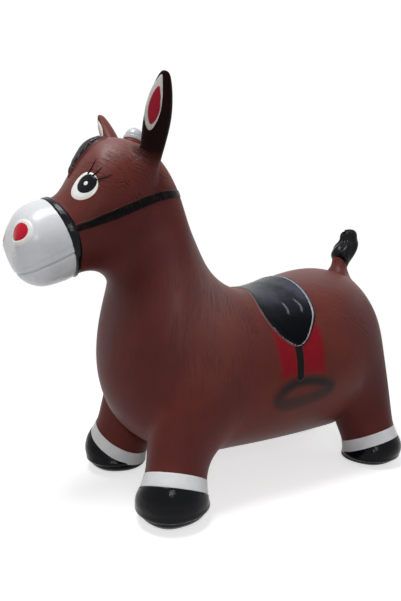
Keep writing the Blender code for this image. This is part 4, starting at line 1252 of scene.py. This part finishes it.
def flanks():
    """Cloth, stirrup iron and strap on each flank, sprayed over the coat."""
    skin = FLANK_SKIN
    ground = {**ground_marks(skin), "strength": np.ones(len(skin.points))}
    stirrup = side_curve(STIRRUP_LINE_SHARES, closed=True)
    stirrup = np.vstack((stirrup, stirrup[:1]))
    above_cloth = skin.points[:, 2] / POLL_HEIGHT - CLOTH_FRONT_SHARES[0][1]
    over_cloth = np.clip((above_cloth - 0.004) / 0.012, 0, 1)
    for side_name, side in SIDES:
        for place, shares in (("front", CLOTH_FRONT_SHARES), ("rear", CLOTH_REAR_SHARES)):
            panel = side_depth(skin, side_line(shares), side)
            coat("saddle_cloth_" + place + "_" + side_name, skin, panel,
                 rounded(panel + 0.0015, *CLOTH_SWELL), CLOTH_PAINT, 0.0030, ground)
        ring, along = strap_depth(skin, stirrup, STIRRUP_HALF_WIDTHS, side)
        coat("stirrup_iron_" + side_name, skin, ring, rounded(ring + 0.0040, *STIRRUP_SWELL),
             STIRRUP_PAINT, 0.0055,
             {**ground, "strength": np.interp(along, *STIRRUP_STRENGTHS)})
        strap, _ = strap_depth(skin, side_line(STRAP_SHARES), STRAP_HALF_WIDTHS, side)
        coat("stirrup_strap_" + side_name, skin, strap, rounded(strap + 0.0012, *STRAP_SWELL),
             STRAP_PAINT, 0.0024, {**ground, "over_cloth": over_cloth})


# Feet and tail

def foot_level(points, side, hoof_y, lean):
    """Height of each point above the leg's tilted level, and which points are of this foot."""
    x, y = points[:, 0] - HALF_TRACK * side, points[:, 1] - hoof_y
    near = (np.abs(x) < HOOF_RADIUS + 0.012) & (np.abs(y) < HOOF_RADIUS + 0.012)
    return points[:, 2] - (LEG_SPLAY * side * x - lean * y), near


def feet():
    skin = FOOT_SKIN
    for leg, (hoof_y, top, lean) in (("front", FRONT_LEG), ("hind", HIND_LEG)):
        ridge = 0.0014 * bump(skin.points[:, 2] - HOOF_RIDGE_SHARE * top, 0.0028)
        crease = 0.0014 * bump(skin.points[:, 2] - HOOF_CREASE_SHARE * top, 0.0018)
        for side_name, side in SIDES:
            level, near = foot_level(skin.points, side, hoof_y, lean)
            depth = np.where(near, top - level, FAR_OUT)
            toe = (np.clip((hoof_y - skin.points[:, 1]) / HOOF_RADIUS, 0, 1)
                   * np.clip(depth / 0.010, 0, 1))
            height = rounded(depth, *HOOF_SWELL) + 0.0014 * toe + ridge - crease
            coat("hoof_" + leg + "_" + side_name, skin, depth, height, HOOF_BLACK)
            band = np.minimum(level - top + 0.0015, top + BAND_HEIGHT - level)
            band = np.where(near, band, FAR_OUT)
            coat("pastern_band_" + leg + "_" + side_name, skin, band, rounded(band, *BAND_SWELL),
                 BAND_WHITE)


def tuft():
    """Black tuft of the tail: twisted strands over a bulb with a small knob at its tip."""
    skin = TAIL_SKIN
    behind = skin.points[:, 1] - TAIL_ROOT.y
    up = skin.points[:, 2] - TAIL_ROOT.z
    depth = (up - TUFT_BASE + TUFT_BASE_SLOPE * behind) / math.hypot(1, TUFT_BASE_SLOPE)
    turn = np.arctan2(skin.points[:, 0], behind - TAIL_SWEEP * 0.6)
    strands = np.cos(turn * 6 + up * 150)
    waist = bump(up - 0.80 * TAIL_RISE - 0.3 * (behind - TAIL_SWEEP), 0.0055)
    height = (rounded(depth, *TUFT_SWELL) + 0.0009 * strands * np.clip(depth / 0.012, 0, 1)
              - 0.0018 * waist * np.clip(depth / 0.010, 0, 1))
    coat("tail_tuft", skin, depth, height, HAIR_BLACK)


HEAD_MARKS = ground_marks(HEAD_SKIN)
body()
valve_plug()
muzzle()
nostrils()
eyes()
ears()
forelock(HEAD_MARKS)
bridle(HEAD_MARKS)
saddle()
flanks()
feet()
tuft()


# Floor, light and camera

ROOM_LIGHT = 0.26
FLOOR_GLOW = 0.62
FLOOR_CORNERS = ((-6.0, -6.0, 0), (6.0, -6.0, 0), (6.0, 6.0, 0), (-6.0, 6.0, 0))
# The camera: its place, its turn in degrees, and its focus and frame in the photograph's pixels
CAMERA_PLACE = (0.607, -0.389, 0.320)
CAMERA_TURN = (84.7, 0, 59.1)
FOCUS_PIXELS = 500
FRAME_PIXELS = 601
FILM_WIDTH = 36
# Soft lamps: place, what each is turned to, size and power
LAMPS = {
    "overhead_box": ((0.10, -0.35, 1.35), (0, -0.05, 0.25), 0.45, 10.0),
    "front_box": ((1.10, -0.60, 0.70), (0, 0.02, 0.20), 0.24, 3.2),
    "rear_box": ((0.2, 1.3, 0.9), (0, 0.1, 0.25), 0.5, 0.8),
}


def emptied(owner):
    """The emptied node tree of a material or the world."""
    owner.use_nodes = True
    owner.node_tree.nodes.clear()
    return Shading(owner.node_tree)


def white_light(shading, kind, strength):
    return shading.node(kind, {"Color": PLAIN_WHITE, "Strength": strength})


def end_tree(shading, lit, shown, kind):
    """One shader for the light, and another for what is seen, also in a gloss or through glass."""
    camera_ray, glossy_ray, through_ray = shading.node("ShaderNodeLightPath", out=(
        "Is Camera Ray", "Is Glossy Ray", "Is Transmission Ray"))
    seen = shading.math("MAXIMUM", camera_ray, glossy_ray)
    seen = shading.math("MAXIMUM", seen, through_ray)
    mixed = shading.node("ShaderNodeMixShader", {0: seen, 1: lit, 2: shown})
    shading.node(kind, {"Surface": mixed}, out=None)


def floor():
    """A plain pale floor that keeps the shadow, and goes over into white further out."""
    mesh = bpy.data.meshes.new("floor")
    mesh.from_pydata(FLOOR_CORNERS, [], [(0, 1, 2, 3)])
    material = bpy.data.materials.new("pale_floor")
    shading = emptied(material)
    where = shading.where()
    pale = shading.layered(FLOOR_GREY, (shading.noise(where, 40.0, detail=3), FLOOR_PALE))
    matt = shading.node("ShaderNodeBsdfDiffuse", {"Color": pale})
    glow = white_light(shading, "ShaderNodeEmission", FLOOR_GLOW)
    near = shading.node("ShaderNodeAddShader", {0: matt, 1: glow})
    away = shading.remap(shading.vector("LENGTH", where, out="Value"), 0.45, 0.95)
    white = white_light(shading, "ShaderNodeEmission", 1.0)
    shown = shading.node("ShaderNodeMixShader", {0: away, 1: near, 2: white})
    end_tree(shading, matt, shown, "ShaderNodeOutputMaterial")
    mesh.materials.append(material)
    put("floor", mesh)


def world():
    room = bpy.data.worlds.new("soft_room")
    bpy.context.scene.world = room
    shading = emptied(room)
    end_tree(shading, white_light(shading, "ShaderNodeBackground", ROOM_LIGHT),
             white_light(shading, "ShaderNodeBackground", 1.0), "ShaderNodeOutputWorld")


def lamp(name, place, target, size, power):
    light = bpy.data.lights.new(name, "AREA")
    light.shape = "RECTANGLE"
    light.size = light.size_y = size
    light.energy = power
    item = put(name, light)
    item.location = place
    item.rotation_euler = (Vector(target) - Vector(place)).to_track_quat("-Z", "Y").to_euler()


def camera():
    lens = bpy.data.cameras.new("photo_camera")
    lens.sensor_width = FILM_WIDTH
    lens.lens = FOCUS_PIXELS / FRAME_PIXELS * FILM_WIDTH
    item = put("photo_camera", lens)
    item.location = CAMERA_PLACE
    item.rotation_euler = [math.radians(turn) for turn in CAMERA_TURN]
    bpy.context.scene.camera = item


floor()
world()
for lamp_name, settings in LAMPS.items():
    lamp(lamp_name, *settings)
camera()
bpy.context.scene.view_settings.view_transform = "Standard"
